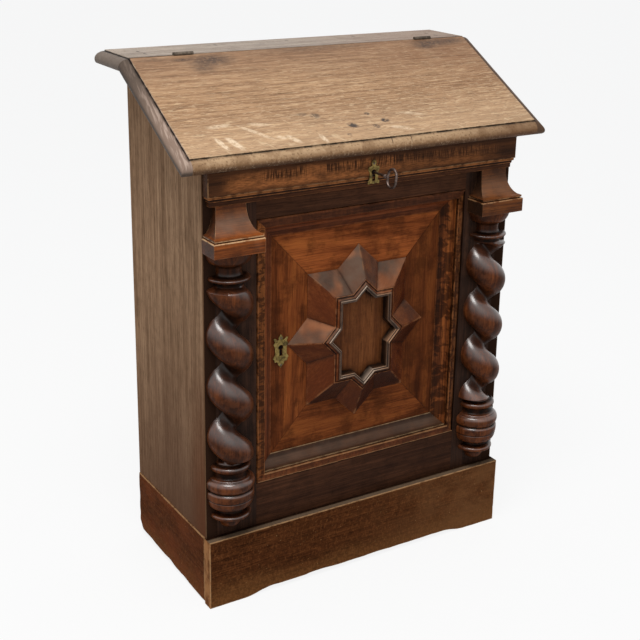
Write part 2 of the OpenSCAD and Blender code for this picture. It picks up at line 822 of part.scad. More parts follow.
module leaf_body(side) {
    y0 = side > 0 ? leaf_gap : -leaf_gap - leaf_t;
    block([-hinge_len / 2, y0, -hinge_lift - leaf_w], [hinge_len / 2, y0 + leaf_t, 0]);
}

module knuckles(side, r, slack) {
    w = middle_knuckle - slack;
    if (side > 0) for (s = [0, 1]) mirror([s, 0, 0])
        translate([w / 2 + 2 * slack, 0, 0]) rotate([0, 90, 0])
            cylinder(r = r, h = (hinge_len - w) / 2 - 2 * slack);
    else translate([-w / 2, 0, 0]) rotate([0, 90, 0]) cylinder(r = r, h = w);
}

module hinge_leaf(side, pin_clear) {
    slack = 0.15;
    difference() {
        union() {
            leaf_body(side);
            knuckles(side, knuckle_r, slack);
        }
        if (side > 0)
            block([-middle_knuckle / 2, -2 * knuckle_r, -knuckle_r - 0.4],
                  [middle_knuckle / 2, 2 * knuckle_r, 2 * knuckle_r]);
        else for (s = [0, 1]) mirror([s, 0, 0])
            block([middle_knuckle / 2 - slack / 2, -2 * knuckle_r, -knuckle_r - 0.4],
                  [hinge_len / 2 + 1, 2 * knuckle_r, 2 * knuckle_r]);
        translate([-hinge_len / 2 - 1, 0, 0]) rotate([0, 90, 0])
            cylinder(r = hinge_pin_r + pin_clear, h = hinge_len + 2);
        leaf_screws(side);
    }
}

screw_len = 15;
module leaf_screws(side) {
    for (i = [-1, 0, 1])
        translate([i * hinge_len / 3, side * leaf_gap, -hinge_lift - leaf_w * 0.62])
            rotate([-90 * side, 0, 0]) {
                cylinder(r1 = 2.6, r2 = 1.3, h = leaf_t);
                translate([0, 0, leaf_t]) cylinder(r = 1.3, h = screw_len);
            }
}

// What a hinge takes out of the wood on one side of the joint
module hinge_recess(side) {
    in_hinge() at_hinges() {
        leaf_body(side);
        translate([-hinge_len / 2 - 0.4, 0, 0]) rotate([0, 90, 0])
            cylinder(r = knuckle_r + 0.4, h = hinge_len + 0.8);
        leaf_screws(side);
    }
}

module hinge_leaves_fixed() color(iron) in_hinge() at_hinges() hinge_leaf(1, 0);
module hinge_leaves_lid() color(iron) in_hinge() at_hinges() hinge_leaf(-1, 0.06);
module hinge_screws_fixed() color(iron) in_hinge() at_hinges() leaf_screws(1);
module hinge_screws_lid() color(iron) in_hinge() at_hinges() leaf_screws(-1);
module hinge_pins() {
    color(iron) in_hinge() at_hinges() translate([-hinge_len / 2, 0, 0]) rotate([0, 90, 0])
        cylinder(r = hinge_pin_r, h = hinge_len);
}

// Lid

module lid_board() {
    back_in = lid_t * tan(lid_slope / 2);
    color(wood_top) difference() {
        in_lid() intersection() {
            along_x(-lid_half, 2 * lid_half) polygon(concat(
                [[-joint_gap, 0]],
                [for (p = thumb(lid_t)) [-lid_len - p.x, p.y]],
                [[-back_in - joint_gap, -lid_t]]
            ));
            along_y(-lid_len, lid_len) polygon(moulded_section(lid_t));
        }
        hinge_recess(-1);
        strike_recess();
        strike_slot(bolt_throw);
    }
}

// Strike plate let into the lid's underside, over the desk bolt
strike_t = 1.6;
strike_y = (face_y + desk_lock_set + bolt_y + bolt_t / 2 - hinge_y) / cos(lid_slope);
module strike_recess() {
    in_lid() translate([0, -lid_t * tan(lid_slope), 0])
        block([-bolt_w / 2 - 9, strike_y - 8, -lid_t - 1], [bolt_w / 2 + 9, strike_y + 8, -lid_t + strike_t]);
}

// Upright slot for the bolt, from below the underside to depth d above the edge plate
module strike_slot(d) {
    z = desk_key_z + lock_reach;
    block([-bolt_w / 2 - 1, desk_lock_y + bolt_y - 0.8, z - 2],
          [bolt_w / 2 + 1, desk_lock_y + bolt_y + bolt_t + 0.8, z + d + 2]);
}

module lid_strike_plate() {
    color(brass) difference() {
        in_lid() translate([0, -lid_t * tan(lid_slope), 0])
            block([-bolt_w / 2 - 9, strike_y - 8, -lid_t], [bolt_w / 2 + 9, strike_y + 8, -lid_t + strike_t]);
        strike_slot(bolt_throw);
    }
}

// Locks: origin on the key's axis at the case's front, z along the bolt's throw, y into the case

module lock_bolt(gap) {
    block([-bolt_w / 2 - gap, bolt_y - gap, bolt_z0 - gap],
          [bolt_w / 2 + gap, bolt_y + bolt_t + gap, lock_reach - 0.4 + 3 * gap]);
}

module lock_case(turn) {
    inner = lock_reach - lock_edge_t;
    difference() {
        union() {
            block([-lock_w / 2, 0, -lock_below], [lock_w / 2, lock_d, inner]);
            block([-lock_w / 2 - 4, 0, inner], [lock_w / 2 + 4, lock_d + cap_t, lock_reach]);
        }
        block([-lock_w / 2 + lock_wall, lock_wall, -lock_below + lock_wall],
              [lock_w / 2 - lock_wall, lock_d + 1, inner - lock_wall]);
        rotate([0, turn, 0]) along_y(-1, lock_wall + 2) keyhole(case_hole_r, case_slot_w, bit_len + 0.7);
        lock_bolt(bolt_clear);
    }
    translate([0, lock_wall, stump_z]) rotate([-90, 0, 0]) cylinder(r = stump_r, h = lock_d - lock_wall);
    block([rib_x, lock_wall, rib_z0], [rib_x + 2, lock_d, rib_z1]);
}

module lock_cap() {
    difference() {
        block([-lock_w / 2, lock_d, -lock_below], [lock_w / 2, lock_d + cap_t, lock_reach - lock_edge_t]);
        translate([0, lock_d - 1, 0]) rotate([-90, 0, 0]) cylinder(r = shank_r + 0.08, h = cap_t + 2);
    }
}

// Bolt with a long hole that rides on the case's stump
module lock_slider() {
    difference() {
        lock_bolt(0);
        block([-stump_r - 0.3, bolt_y - 1, stump_z - stump_r - 0.3 - bolt_throw],
              [stump_r + 0.3, bolt_y + bolt_t + 1, stump_z + stump_r + 0.3]);
    }
}

// Bowed leaf spring beside the bolt, with both ends on the case's rib
module lock_spring() {
    span = rib_z1 - rib_z0 - 2;
    rise = rib_x - bolt_w / 2 - bolt_clear;
    r = (span * span / 4 + rise * rise) / (2 * rise);
    x = rib_x - rise + r;
    ends = acos((r - rise) / r);
    inner = acos((r - rise) / (r - spring_t));
    translate([x, bolt_y, (rib_z0 + rib_z1) / 2]) rotate([-90, 0, 0]) linear_extrude(bolt_t) polygon(concat(
        [for (i = [-6:6]) [-r * cos(ends * i / 6), r * sin(ends * i / 6)]],
        [for (i = [6:-1:-6]) (r - spring_t) * [-cos(inner * i / 6), sin(inner * i / 6)]]
    ));
}

module in_desk_lock() translate([0, desk_lock_y, desk_key_z]) children();
module in_door_lock() translate([-door_key_x, door_back, door_key_z]) rotate([0, -90, 0]) children();

module desk_lock_case() color(steel) in_desk_lock() lock_case(0);
module desk_lock_cap() color(steel) in_desk_lock() lock_cap();
module desk_lock_spring() color(steel) in_desk_lock() lock_spring();
module desk_lock_bolt() color(steel) in_desk_lock() lock_slider();
module door_lock_case() color(steel) in_door_lock() lock_case(90);
module door_lock_cap() color(steel) in_door_lock() lock_cap();
module door_lock_spring() color(steel) in_door_lock() lock_spring();
module door_lock_bolt() color(steel) in_door_lock() lock_slider();

// Key, along y through the desk lock's axis, bit down

collar_r = 3.6;
bit_t = 2.6;
module key() {
    tip = desk_lock_y + lock_d + 0.6;
    bow_y = frieze_y - key_out;
    mid_y = bow_y - bow_r - bow_wire;
    color(steel) translate([0, 0, desk_key_z]) {
        translate([0, tip, 0]) rotate([90, 0, 0]) cylinder(r = shank_r, h = tip - bow_y + bow_wire);
        block([-bit_t / 2, desk_lock_y + lock_wall + 0.8, -bit_len],
              [bit_t / 2, desk_lock_y + lock_d - 1.2, 0]);
        for (y = [bow_y + 3, bow_y + 7])
            translate([0, y, 0]) rotate([90, 0, 0]) cylinder(r = collar_r, h = 2);
        translate([0, mid_y, 0]) rotate([0, 90, 0]) {
            for (s = [0, 1]) mirror([s, 0, 0]) translate([bow_straight / 2, 0, 0]) rotate([0, 0, -90])
                rotate_extrude(angle = 180) translate([bow_r, 0]) circle(r = bow_wire);
            for (y = [-bow_r, bow_r]) translate([-bow_straight / 2, y, 0]) rotate([0, 90, 0])
                cylinder(r = bow_wire, h = bow_straight);
        }
    }
}

// Escutcheons: thin pierced plates, outlines in millimetres round the keyhole's centre

desk_plate = [[0, 19.6], [3.6, 18.4], [5.6, 14.8], [4.8, 11.2], [9, 9.6], [11.2, 5], [10, -1], [8.2, -4],
              [8.4, -13], [11.4, -18.4], [8, -20], [0, -19.4]];
door_plate = [[0, 23.5], [3.2, 20], [4.6, 15.6], [9, 16.8], [13.8, 16.2], [11.4, 11], [12.6, 5.4], [11.6, -4],
              [11.2, -13], [14.8, -19.6], [11.4, -24.5], [7.2, -24.2], [4.6, -29.5], [0, -37]];

function two_sided(half) = concat(half, [for (p = reversed(half)) if (p.x > 0) [-p.x, p.y]]);

module plate(half, hole_z) {
    difference() {
        linear_extrude(plate_t) polygon(two_sided(half));
        translate([0, 0, -1]) linear_extrude(plate_t + 2) keyhole(key_hole_r, key_slot_w, key_slot_len);
        for (z = hole_z) translate([0, z, -1]) cylinder(r = 1.1, h = plate_t + 2);
    }
}

module plate_pins(hole_z) {
    for (z = hole_z) translate([0, z, 0]) {
        cylinder(r = 1.1, h = plate_t);
        translate([0, 0, plate_t]) cylinder(r1 = 1.9, r2 = 1.2, h = 0.7);
    }
}

desk_pin_z = [14.4];
door_pin_z = [17, -32];
module on_frieze() translate([0, frieze_y, desk_key_z]) rotate([90, 0, 0]) children();
module on_door_field() translate([-door_key_x, field_y, door_key_z]) rotate([90, 0, 0]) children();

module desk_escutcheon() color(brass) on_frieze() plate(desk_plate, desk_pin_z);
module desk_escutcheon_pins() color(iron) on_frieze() plate_pins(desk_pin_z);
module door_escutcheon() color(brass) on_door_field() plate(door_plate, door_pin_z);
module door_escutcheon_pins() color(iron) on_door_field() plate_pins(door_pin_z);

// Door: a mitred frame grooved for the panel, with a hollow moulding in its rebate

frame_w = band_w + hollow_w;
groove_y0 = panel_y;
groove_y1 = panel_y + panel_t;
hollow_back = field_y + 1;
hollow_lip = 1.5;

// Frame member's section as [distance in from the outer edge, y]
function member_section() = [
    [0, door_front], [band_w, door_front], [band_w, hollow_back], [frame_w, hollow_back],
    [frame_w, groove_y0], [frame_w - panel_groove, groove_y0], [frame_w - panel_groove, groove_y1],
    [frame_w, groove_y1], [frame_w, door_back], [0, door_back]
];

// Hollow moulding's section in the same terms
function hollow_section() = concat(
    [[band_w, hollow_back], [band_w, door_front + hollow_step]],
    [for (a = [0:10:90]) [frame_w - (hollow_w - hollow_lip) * cos(a),
                          door_front + hollow_step + hollow_drop * sin(a)]],
    [[frame_w, hollow_back]]
);

// One side of a mitred frame: a section carried along the lower edge and cut at 45 degrees
module mitred_side(section, half_len, reach, gap) {
    intersection() {
        along_x(-half_len, 2 * half_len) polygon([for (p = section) [p.y, p.x]]);
        along_y(door_front - 1, door_t + 2) polygon([
            [-half_len + gap, 0], [half_len - gap, 0],
            [half_len - reach - gap, reach], [-half_len + reach + gap, reach]
        ]);
    }
}

module place_side(k) {
    if (k == 0) translate([0, 0, door_z]) children();
    if (k == 1) translate([0, 0, door_z + door_h]) mirror([0, 0, 1]) children();
    if (k == 2) translate([-door_w / 2, 0, door_mid]) rotate([0, 90, 0]) children();
    if (k == 3) mirror([1, 0, 0]) translate([-door_w / 2, 0, door_mid]) rotate([0, 90, 0]) children();
}

// Wood outside the quarter round that lets the door's right front corner turn in its opening
module arris_cut() {
    difference() {
        block([pivot_x, door_front - 1, door_z - 1], [door_w / 2 + 1, pivot_y, door_z + door_h + 1]);
        translate([pivot_x, pivot_y, door_z - 2]) cylinder(r = pivot_inset, h = door_h + 4);
    }
}

module door_member(k) {
    half_len = k < 2 ? door_w / 2 : door_h / 2;
    color(wood_red) difference() {
        place_side(k) mitred_side(member_section(), half_len, frame_w, 0);
        if (k != 2) arris_cut();
        if (k != 2) pivot_wells();
        if (k != 2) socket_plates(1);
    }
}

module door_rail_bottom() door_member(0);
module door_rail_top() door_member(1);
module door_stile_left() door_member(2);
module door_stile_right() door_member(3);

module door_hollow_moulding() {
    color(wood_dark) for (k = [0:3])
        place_side(k) mitred_side(hollow_section(), (k < 2 ? door_w : door_h) / 2, frame_w, mitre_gap);
}

module door_keyway(y, d) {
    translate([-door_key_x, 0, door_key_z]) along_y(y, d) keyhole(key_hole_r, key_slot_w, key_slot_len);
}

module door_panel() {
    x = field_half_w + panel_groove - 1;
    z = field_half_h + panel_groove - 1;
    color(wood_inner) difference() {
        block([-x, panel_y, door_mid - z], [x, groove_y1, door_mid + z]);
        door_keyway(panel_y - 1, panel_t + 2);
    }
}

// Four boards that meet on mitres run from the corners to the star's rectangle
module door_field_boards() {
    w = field_half_w;
    h = field_half_h;
    gap = mitre_gap;
    color(wood_red) difference() {
        translate([0, 0, door_mid]) for (m = [0, 1]) {
            mirror([0, 0, m]) along_y(field_y, field_t)
                polygon([[-w + gap, h], [w - gap, h], [star_w - gap, star_h], [-star_w + gap, star_h]]);
            mirror([m, 0, 0]) along_y(field_y, field_t)
                polygon([[w, -h + gap], [w, h - gap], [star_w, star_h - gap], [star_w, -star_h + gap]]);
        }
        door_keyway(field_y - 1, field_t + 2);
    }
}

// Star: outline inset by d, counter-clockwise from the right-hand point

star_tip_w = door_key_x - plate_half_w;
star_tip_h = field_half_h * star_share;
star_w = star_tip_w * star_w_share;
star_h = star_tip_h * star_h_share;
star_root_w = star_w * root_w_share;
star_root_h = star_h * root_h_share;
facet_w = star_w * facet_share;
tip_slant = norm([star_tip_h - star_h, star_root_w]);
side_slant = norm([star_tip_w - star_w, star_root_h]);
function tip_h(d) = star_tip_h - d * tip_slant / star_root_w;
function tip_w(d) = star_tip_w - d * side_slant / star_root_h;
function root_w(d) = (tip_h(d) - (star_h - d)) * star_root_w / (star_tip_h - star_h);
function root_h(d) = (tip_w(d) - (star_w - d)) * star_root_h / (star_tip_w - star_w);
function quarter(d) = [
    [tip_w(d), 0], [star_w - d, root_h(d)], [star_w - d, star_h - d], [root_w(d), star_h - d]
];
function star(d) = let (q = quarter(d)) concat(
    q, [[0, tip_h(d)]], [for (i = [3:-1:1]) [-q[i].x, q[i].y]],
    [[-tip_w(d), 0]], [for (i = [1:3]) [-q[i].x, -q[i].y]],
    [[0, -tip_h(d)]], [for (i = [3:-1:1]) [q[i].x, -q[i].y]]
);

// Door field frame: x to the right, y up, z out of the field's face
module on_field() translate([0, field_y, door_mid]) rotate([90, 0, 0]) children();

bead_out = facet_w;
bead_mid = facet_w + bead_w;
bead_in = facet_w + 2 * bead_w;

// One ray: the two facets on either side of point k, as a solid down to the field
module ray(k) {
    outer = star(0);
    inner = star(facet_w);
    ids = [k + 15, k, k + 1];
    ring = concat([for (i = ids) outer[i % 16]], [for (i = reversed(ids)) inner[i % 16]]);
    tops = [facet_edge, facet_edge, facet_edge, facet_rise, facet_rise, facet_rise];
    pts = concat([for (p = ring) [p.x, p.y, 0]], [for (i = [0:5]) [ring[i].x, ring[i].y, tops[i]]]);
    polyhedron(pts, concat(
        [[0, 1, 2, 3, 4, 5], [11, 10, 7, 6], [10, 9, 8, 7]],
        [for (i = [0:5]) [i, i + 6, (i + 1) % 6 + 6, (i + 1) % 6]]
    ));
}

module star_points() color(wood_red) on_field() for (k = [0:4:12]) ray(k);
module star_corners() color(wood_red) on_field() for (k = [2:4:14]) ray(k);

module star_ring(d0, d1, h) {
    difference() {
        linear_extrude(h) polygon(star(d0));
        translate([0, 0, -1]) linear_extrude(h + 2) polygon(star(d1));
    }
}

module star_bead() {
    color(wood_dark) on_field() {
        star_ring(bead_out, bead_mid, facet_rise + bead_lift);
        star_ring(bead_mid, bead_in, facet_rise - 0.6);
    }
}

module star_tablet() {
    color(wood_red) on_field() linear_extrude(tablet_rise) polygon(star(bead_in));
}

side_panel_left();
side_panel_right();
back_boards();
cupboard_floor();
cupboard_shelf();
shelf_battens();
desk_floor();
top_board();
top_nails();
plinth_front();
plinth_left();
plinth_right();
plinth_back();
plinth_blocks();
stile_left();
stile_right();
bottom_rail();
top_rail();
frieze();
cornice_moulding();
capital_left();
capital_right();
column_left();
column_right();
door_stops();
door_keep();
pivot_pins();
hinge_leaves_fixed();
hinge_pins();
hinge_screws_fixed();
desk_lock_case();
desk_lock_cap();
desk_lock_spring();
desk_lock_bolt();
desk_escutcheon();
desk_escutcheon_pins();
key();
lid_board();
hinge_leaves_lid();
hinge_screws_lid();
lid_strike_plate();
door_stile_left();
door_stile_right();
door_rail_top();
door_rail_bottom();
door_hollow_moulding();
door_panel();
door_field_boards();
pivot_sockets();
star_points();
star_corners();
star_bead();
star_tablet();
door_lock_case();
door_lock_cap();
door_lock_spring();
door_lock_bolt();
door_escutcheon();
door_escutcheon_pins();
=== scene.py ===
"""Secretaire chest with a slope-top desk and a star-fronted door: its visible surfaces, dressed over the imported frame.

Every length is in metres, in the frame's own axes: X is the width, the front faces -Y and Z is up.
"""
from __future__ import annotations

import json
import logging
from dataclasses import dataclass, field
from enum import Enum
from math import cos, hypot, pi, radians, sin, tan
from typing import NamedTuple

import bmesh
import bpy
import numpy as np
from mathutils import Matrix, Vector

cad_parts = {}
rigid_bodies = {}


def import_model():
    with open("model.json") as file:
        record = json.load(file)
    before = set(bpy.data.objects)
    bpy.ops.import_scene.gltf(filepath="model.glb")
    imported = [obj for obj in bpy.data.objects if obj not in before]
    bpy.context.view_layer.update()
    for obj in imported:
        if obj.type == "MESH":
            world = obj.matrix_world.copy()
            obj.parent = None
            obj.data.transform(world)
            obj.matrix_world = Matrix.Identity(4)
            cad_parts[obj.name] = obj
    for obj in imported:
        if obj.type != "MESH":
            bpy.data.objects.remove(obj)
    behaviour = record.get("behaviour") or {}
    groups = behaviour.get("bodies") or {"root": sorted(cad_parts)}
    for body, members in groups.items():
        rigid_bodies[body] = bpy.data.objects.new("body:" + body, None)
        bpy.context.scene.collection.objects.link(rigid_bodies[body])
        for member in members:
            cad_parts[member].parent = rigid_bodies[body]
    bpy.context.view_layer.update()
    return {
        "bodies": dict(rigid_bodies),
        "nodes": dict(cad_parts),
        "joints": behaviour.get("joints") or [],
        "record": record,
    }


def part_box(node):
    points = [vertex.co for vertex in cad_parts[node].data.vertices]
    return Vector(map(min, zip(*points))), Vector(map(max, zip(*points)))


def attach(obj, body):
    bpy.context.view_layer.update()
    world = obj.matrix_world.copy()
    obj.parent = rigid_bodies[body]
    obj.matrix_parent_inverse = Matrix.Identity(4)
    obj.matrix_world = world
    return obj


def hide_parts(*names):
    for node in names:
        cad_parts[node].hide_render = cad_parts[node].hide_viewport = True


Socket = bpy.types.NodeSocket
Triple = tuple[float, float, float]

LOG = logging.getLogger("secretaire")
MM = 0.001
# Half the gap between the lid and the top board
SEAM = 0.4 * MM
# Directions of a board's length, width and face: lying flat, and standing with its face to the front
LYING = ((1, 0, 0), (0, 1, 0), (0, 0, 1))
FACING = ((1, 0, 0), (0, 0, 1), (0, -1, 0))


class Side(Enum):
    """Which side of the chest a paired piece belongs to."""

    LEFT = -1
    RIGHT = 1

    @property
    def word(self) -> str:
        """The side's name in lower case."""
        return self.name.lower()


class Grain(Enum):
    """Where a wood finish reads the direction of its grain."""

    BOARD = "board"
    X = "x"
    Y = "y"
    Z = "z"


def tone(r: float, g: float, b: float) -> tuple[float, float, float, float]:
    """A colour as it looks on screen, from 0 to 255, as the linear values that a shader takes."""
    one = [((c / 255 + 0.055) / 1.055) ** 2.4 if c > 10 else c / 255 / 12.92 for c in (r, g, b)]
    return (*one, 1.0)


def ripple(p: np.ndarray, size: float, seed: int) -> np.ndarray:
    """Smooth unevenness from -1 to 1: six sine waves in seeded directions, added and divided by their number.

    Args:
        p: Points, one row each.
        size: Length of the waves in metres.
        seed: Picks directions and phases.

    Returns:
        One value for each point.
    """
    rng = np.random.default_rng(seed)
    ways = rng.normal(size=(6, 3))
    ways /= np.linalg.norm(ways, axis=1)[:, None]
    stretch = rng.uniform(0.7, 1.5, 6)
    return np.sin(p @ (ways * (2 * pi / size * stretch)[:, None]).T + rng.uniform(0, 6.28, 6)).mean(1) * 1.6


def cut(seed: int, reach: float = 3.0) -> np.ndarray:
    """Where in the tree a board is cut: a seeded shift of its grain."""
    return np.random.default_rng(seed).uniform(-reach, reach, 3)


def smoothed(points: np.ndarray, parts: int, closed: bool = False) -> np.ndarray:
    """An outline with more points, on the usual cubic through four points in a row.

    Args:
        points: The outline, one row a point.
        parts: Points for each stretch.
        closed: True where the outline joins its own start.

    Returns:
        The finer outline, without its last point where it is open.
    """
    p = np.vstack([points[-1:], points, points[:2]] if closed else [points[:1], points, points[-1:]])
    t = (np.arange(parts) / parts)[None, :, None]
    a, b, c, d = (p[k:len(p) - 3 + k][:, None, :] for k in range(4))
    curve = 0.5 * (2 * b + (c - a) * t + (2 * a - 5 * b + 4 * c - d) * t**2 + (3 * b - a - 3 * c + d) * t**3)
    return curve.reshape(-1, points.shape[1])


def divided(rims: np.ndarray, parts: int) -> np.ndarray:
    """Closed outlines with more points: each straight side becomes even shares of its two ends."""
    share = np.linspace(0, 1, parts, endpoint=False)[:, None]
    sides = rims[..., None, :] * (1 - share) + np.roll(rims, -1, -2)[..., None, :] * share
    return sides.reshape(*rims.shape[:-2], -1, 2)


def shown(name: str, data: object) -> bpy.types.Object:
    """A new object in the scene."""
    thing = bpy.data.objects.new(name, data)
    bpy.context.collection.objects.link(thing)
    return thing


def crowded(n: int) -> np.ndarray:
    """n + 1 steps from 0 to 1, closer together at both ends: a third of a straight line and two of a half cosine."""
    t = np.linspace(0, 1, n + 1)
    return 0.35 * t + 0.65 * 0.5 * (1 - np.cos(pi * t))


@dataclass
class Skin:
    """A closed surface in the making: points, faces and what the finishes read at each point."""

    points: np.ndarray
    faces: list[np.ndarray]
    grain: np.ndarray
    wear: np.ndarray
    dirt: np.ndarray | None = None
    shade: float = 0.0

    def placed(self, origin: tuple, ex: tuple, ey: tuple, ez: tuple) -> "Skin":
        """The same surface carried into another frame.

        Args:
            origin: Where the local origin goes.
            ex: Where the local x axis points.
            ey: Where the local y axis points.
            ez: Where the local z axis points.

        Returns:
            This surface, changed in place; its faces are turned over if the frame is left-handed.
        """
        axes = np.array([ex, ey, ez], float)
        self.points = self.points @ axes + np.array(origin, float)
        if np.linalg.det(axes) < 0:
            self.faces = [f[:, ::-1] for f in self.faces]
        return self

    def moved(self, change: np.ndarray) -> "Skin":
        """Adds a change to each point's place."""
        self.points = self.points + change
        return self

    def worn(self, depth: float, size: float, seed: int) -> "Skin":
        """Wears the arrises back: points with wear move straight inwards by uneven amounts up to depth.

        Args:
            depth: The most that a point moves.
            size: Length of the dents.
            seed: Picks the pattern.

        Returns:
            This surface, changed in place.
        """
        low, high = self.points.min(0), self.points.max(0)
        margin = np.minimum(6 * MM, (high - low) / 2)
        inward = np.clip(self.points, low + margin, high - margin) - self.points
        near = inward / np.maximum(np.linalg.norm(inward, axis=1), 1e-9)[:, None]
        bite = np.clip(ripple(self.points, size, seed) + 0.5 * ripple(self.points, size / 3.1, seed + 1), 0, 2)
        self.points = self.points + near * (self.wear * bite * depth)[:, None]
        return self

    def joined(self, *others: "Skin") -> "Skin":
        """One surface made of this one and others, as separate shells."""
        skins = [self, *others]
        starts = np.cumsum([0] + [len(s.points) for s in skins[:-1]])
        faces = [f + k for s, k in zip(skins, starts) for f in s.faces]
        dirt = np.concatenate([s.dirt if s.dirt is not None else np.zeros(len(s.points)) for s in skins])
        return Skin(np.vstack([s.points for s in skins]), faces, np.vstack([s.grain for s in skins]),
                    np.concatenate([s.wear for s in skins]), dirt)


def wrap_faces(rows: int, cols: int) -> np.ndarray:
    """Quads between rings that lie one after another and close on themselves.

    They face outwards when the rings run counter-clockwise seen against their order.
    """
    i, j = np.meshgrid(np.arange(rows - 1), np.arange(cols), indexing="ij")
    a, b = i * cols + j, i * cols + (j + 1) % cols
    return np.stack([a, a + cols, b + cols, b], -1).reshape(-1, 4)


def grid_faces(rows: int, cols: int) -> np.ndarray:
    """Quads between the points of a grid, numbered row by row."""
    a = (np.arange(rows - 1)[:, None] * cols + np.arange(cols - 1)).ravel()
    return np.stack([a, a + cols, a + cols + 1, a + 1], -1)


def grid_rim(rows: int, cols: int) -> np.ndarray:
    """Numbers of a grid's outer points in turn: over the rows, over the columns, and back the same way."""
    i = [np.arange(rows - 1), np.full(cols - 1, rows - 1), np.arange(rows - 1, 0, -1), np.zeros(cols - 1, int)]
    j = [np.zeros(rows - 1, int), np.arange(cols - 1), np.full(rows - 1, cols - 1), np.arange(cols - 1, 0, -1)]
    return np.concatenate(i) * cols + np.concatenate(j)


class Row(NamedTuple):
    """One ring of a board's edge: how far in it lies, its height, its wear, and its soiling with painted shade."""

    inset: float
    height: float
    wear: float = 0.0
    dirt: float = 0.0
    front: float | None = None


def eased(thick: float, top: float, low: float | None = None, steps: int = 4, low_wear: float = 1.0) -> list[Row]:
    """A board's edge from its upper to its lower face, with both arrises rounded to quarter circles.

    Args:
        thick: The board's thickness.
        top: Radius of the upper arris.
        low: Radius of the lower arris, or the same.
        steps: Steps in each quarter circle.
        low_wear: Wear along the lower arris.

    Returns:
        The rings, worn at the arrises alone.
    """
    low = top if low is None else low
    a = np.linspace(0, pi / 2, steps + 1)
    rows = [Row(top * 2.5, 0.0)]
    rows += [Row(top * (1 - sin(t)), -top * (1 - cos(t)), 1.0) for t in a]
    rows += [Row(0.0, -top * 2.4), Row(0.0, -thick + low * 2.4)]
    rows += [Row(low * (1 - cos(t)), -thick + low * (1 - sin(t)), low_wear) for t in a]
    return rows + [Row(low * 2.5, -thick)]


def slab(lo: tuple[float, float], hi: tuple[float, float], rows: list[Row], cells: tuple[int, int],
         sides: tuple[float, float, float, float] = (1, 1, 1, 1), along: int = 0, seed: int = 0,
         corner: float = 0.0) -> Skin:
    """A board: a grid for the upper face, rings that follow an edge profile, and a grid for the lower face.

    Each ring is the plan rectangle drawn in by the row's inset, so a moulding keeps mitred corners.

    Args:
        lo: Lowest x and y of the plan.
        hi: Highest x and y of the plan.
        rows: Edge profile; a row's front inset, where it has one, holds for the front and back.
        cells: Cells along x and along y.
        sides: How much of the inset the left, right, front and back take.
        along: Local axis that the grain runs along.
        seed: Picks the place in the tree that the board is cut from.
        corner: Wear down the rings' corners.

    Returns:
        The closed surface, with its faces outwards.
    """
    nx, ny = cells
    fx, fy = crowded(nx), crowded(ny)
    rim = grid_rim(nx + 1, ny + 1)
    ring_i, ring_j = np.divmod(rim, ny + 1)
    at_corner = (((ring_i == 0) | (ring_i == nx)) & ((ring_j == 0) | (ring_j == ny))).astype(float) * corner
    cols = len(ring_i)

    def lines(row: Row) -> tuple[np.ndarray, np.ndarray]:
        """Grid lines of one level."""
        ix, iy = row.inset, row.inset if row.front is None else row.front
        xs = lo[0] + ix * sides[0] + fx * (hi[0] - lo[0] - ix * (sides[0] + sides[1]))
        ys = lo[1] + iy * sides[2] + fy * (hi[1] - lo[1] - iy * (sides[2] + sides[3]))
        return xs, ys

    def sheet(row: Row) -> np.ndarray:
        """All points of one level."""
        gx, gy = np.meshgrid(*lines(row), indexing="ij")
        return np.stack([gx, gy, np.full(gx.shape, row.height)], -1).reshape(-1, 3)

    top, low = sheet(rows[0]), sheet(rows[-1])
    points, wear, dirt = [top], [np.zeros(len(top))], [np.full(len(top), rows[0].dirt)]
    for row in rows[1:-1]:
        xs, ys = lines(row)
        points.append(np.stack([xs[ring_i], ys[ring_j], np.full(cols, row.height)], -1))
        wear.append(np.maximum(row.wear, at_corner))
        dirt.append(np.full(cols, row.dirt))
    points.append(low)
    wear.append(np.zeros(len(low)))
    dirt.append(np.full(len(low), rows[-1].dirt))
    points, wear, dirt = (np.concatenate(v) for v in (points, wear, dirt))
    mids = len(rows) - 2
    body = [rim] + [len(top) + k * cols + np.arange(cols) for k in range(mids)]
    ids = np.array(body + [len(top) + mids * cols + rim])
    nxt = np.roll(ids, -1, 1)
    walls = np.stack([ids[:-1], ids[1:], nxt[1:], nxt[:-1]], -1).reshape(-1, 4)
    face = grid_faces(nx + 1, ny + 1)
    under = face[:, ::-1] + len(top) + mids * cols
    order = [along, 1 - along, 2] if along < 2 else [2, 0, 1]
    grain = points[:, order] + cut(seed)
    return Skin(points, [face, walls, under], grain, wear, dirt)


def sweep(rings: np.ndarray, grain: np.ndarray, wear: np.ndarray, dirt: np.ndarray | None = None,
          closed_path: bool = False) -> Skin:
    """A closed section carried along a path, with a flat face at each end unless the path closes.

    Args:
        rings: Points as an array of path step, section step and axis, counter-clockwise seen against the path.
        grain: Grain coordinates in the same layout.
        wear: Wear at each point.
        dirt: Soiling and painted shade at each point, or nothing.
        closed_path: True where the last ring joins the first.

    Returns:
        The closed surface.
    """
    n, m = rings.shape[:2]
    faces = [wrap_faces(n, m)]
    if closed_path:
        a, b = np.arange(m), (np.arange(m) + 1) % m
        last = (n - 1) * m
        faces.append(np.stack([last + a, a, b, last + b], -1))
    else:
        faces += [np.arange(m)[None, :], (n - 1) * m + np.arange(m)[::-1][None, :]]
    return Skin(rings.reshape(-1, 3), faces, grain.reshape(-1, 3), wear.ravel(),
                None if dirt is None else dirt.ravel())


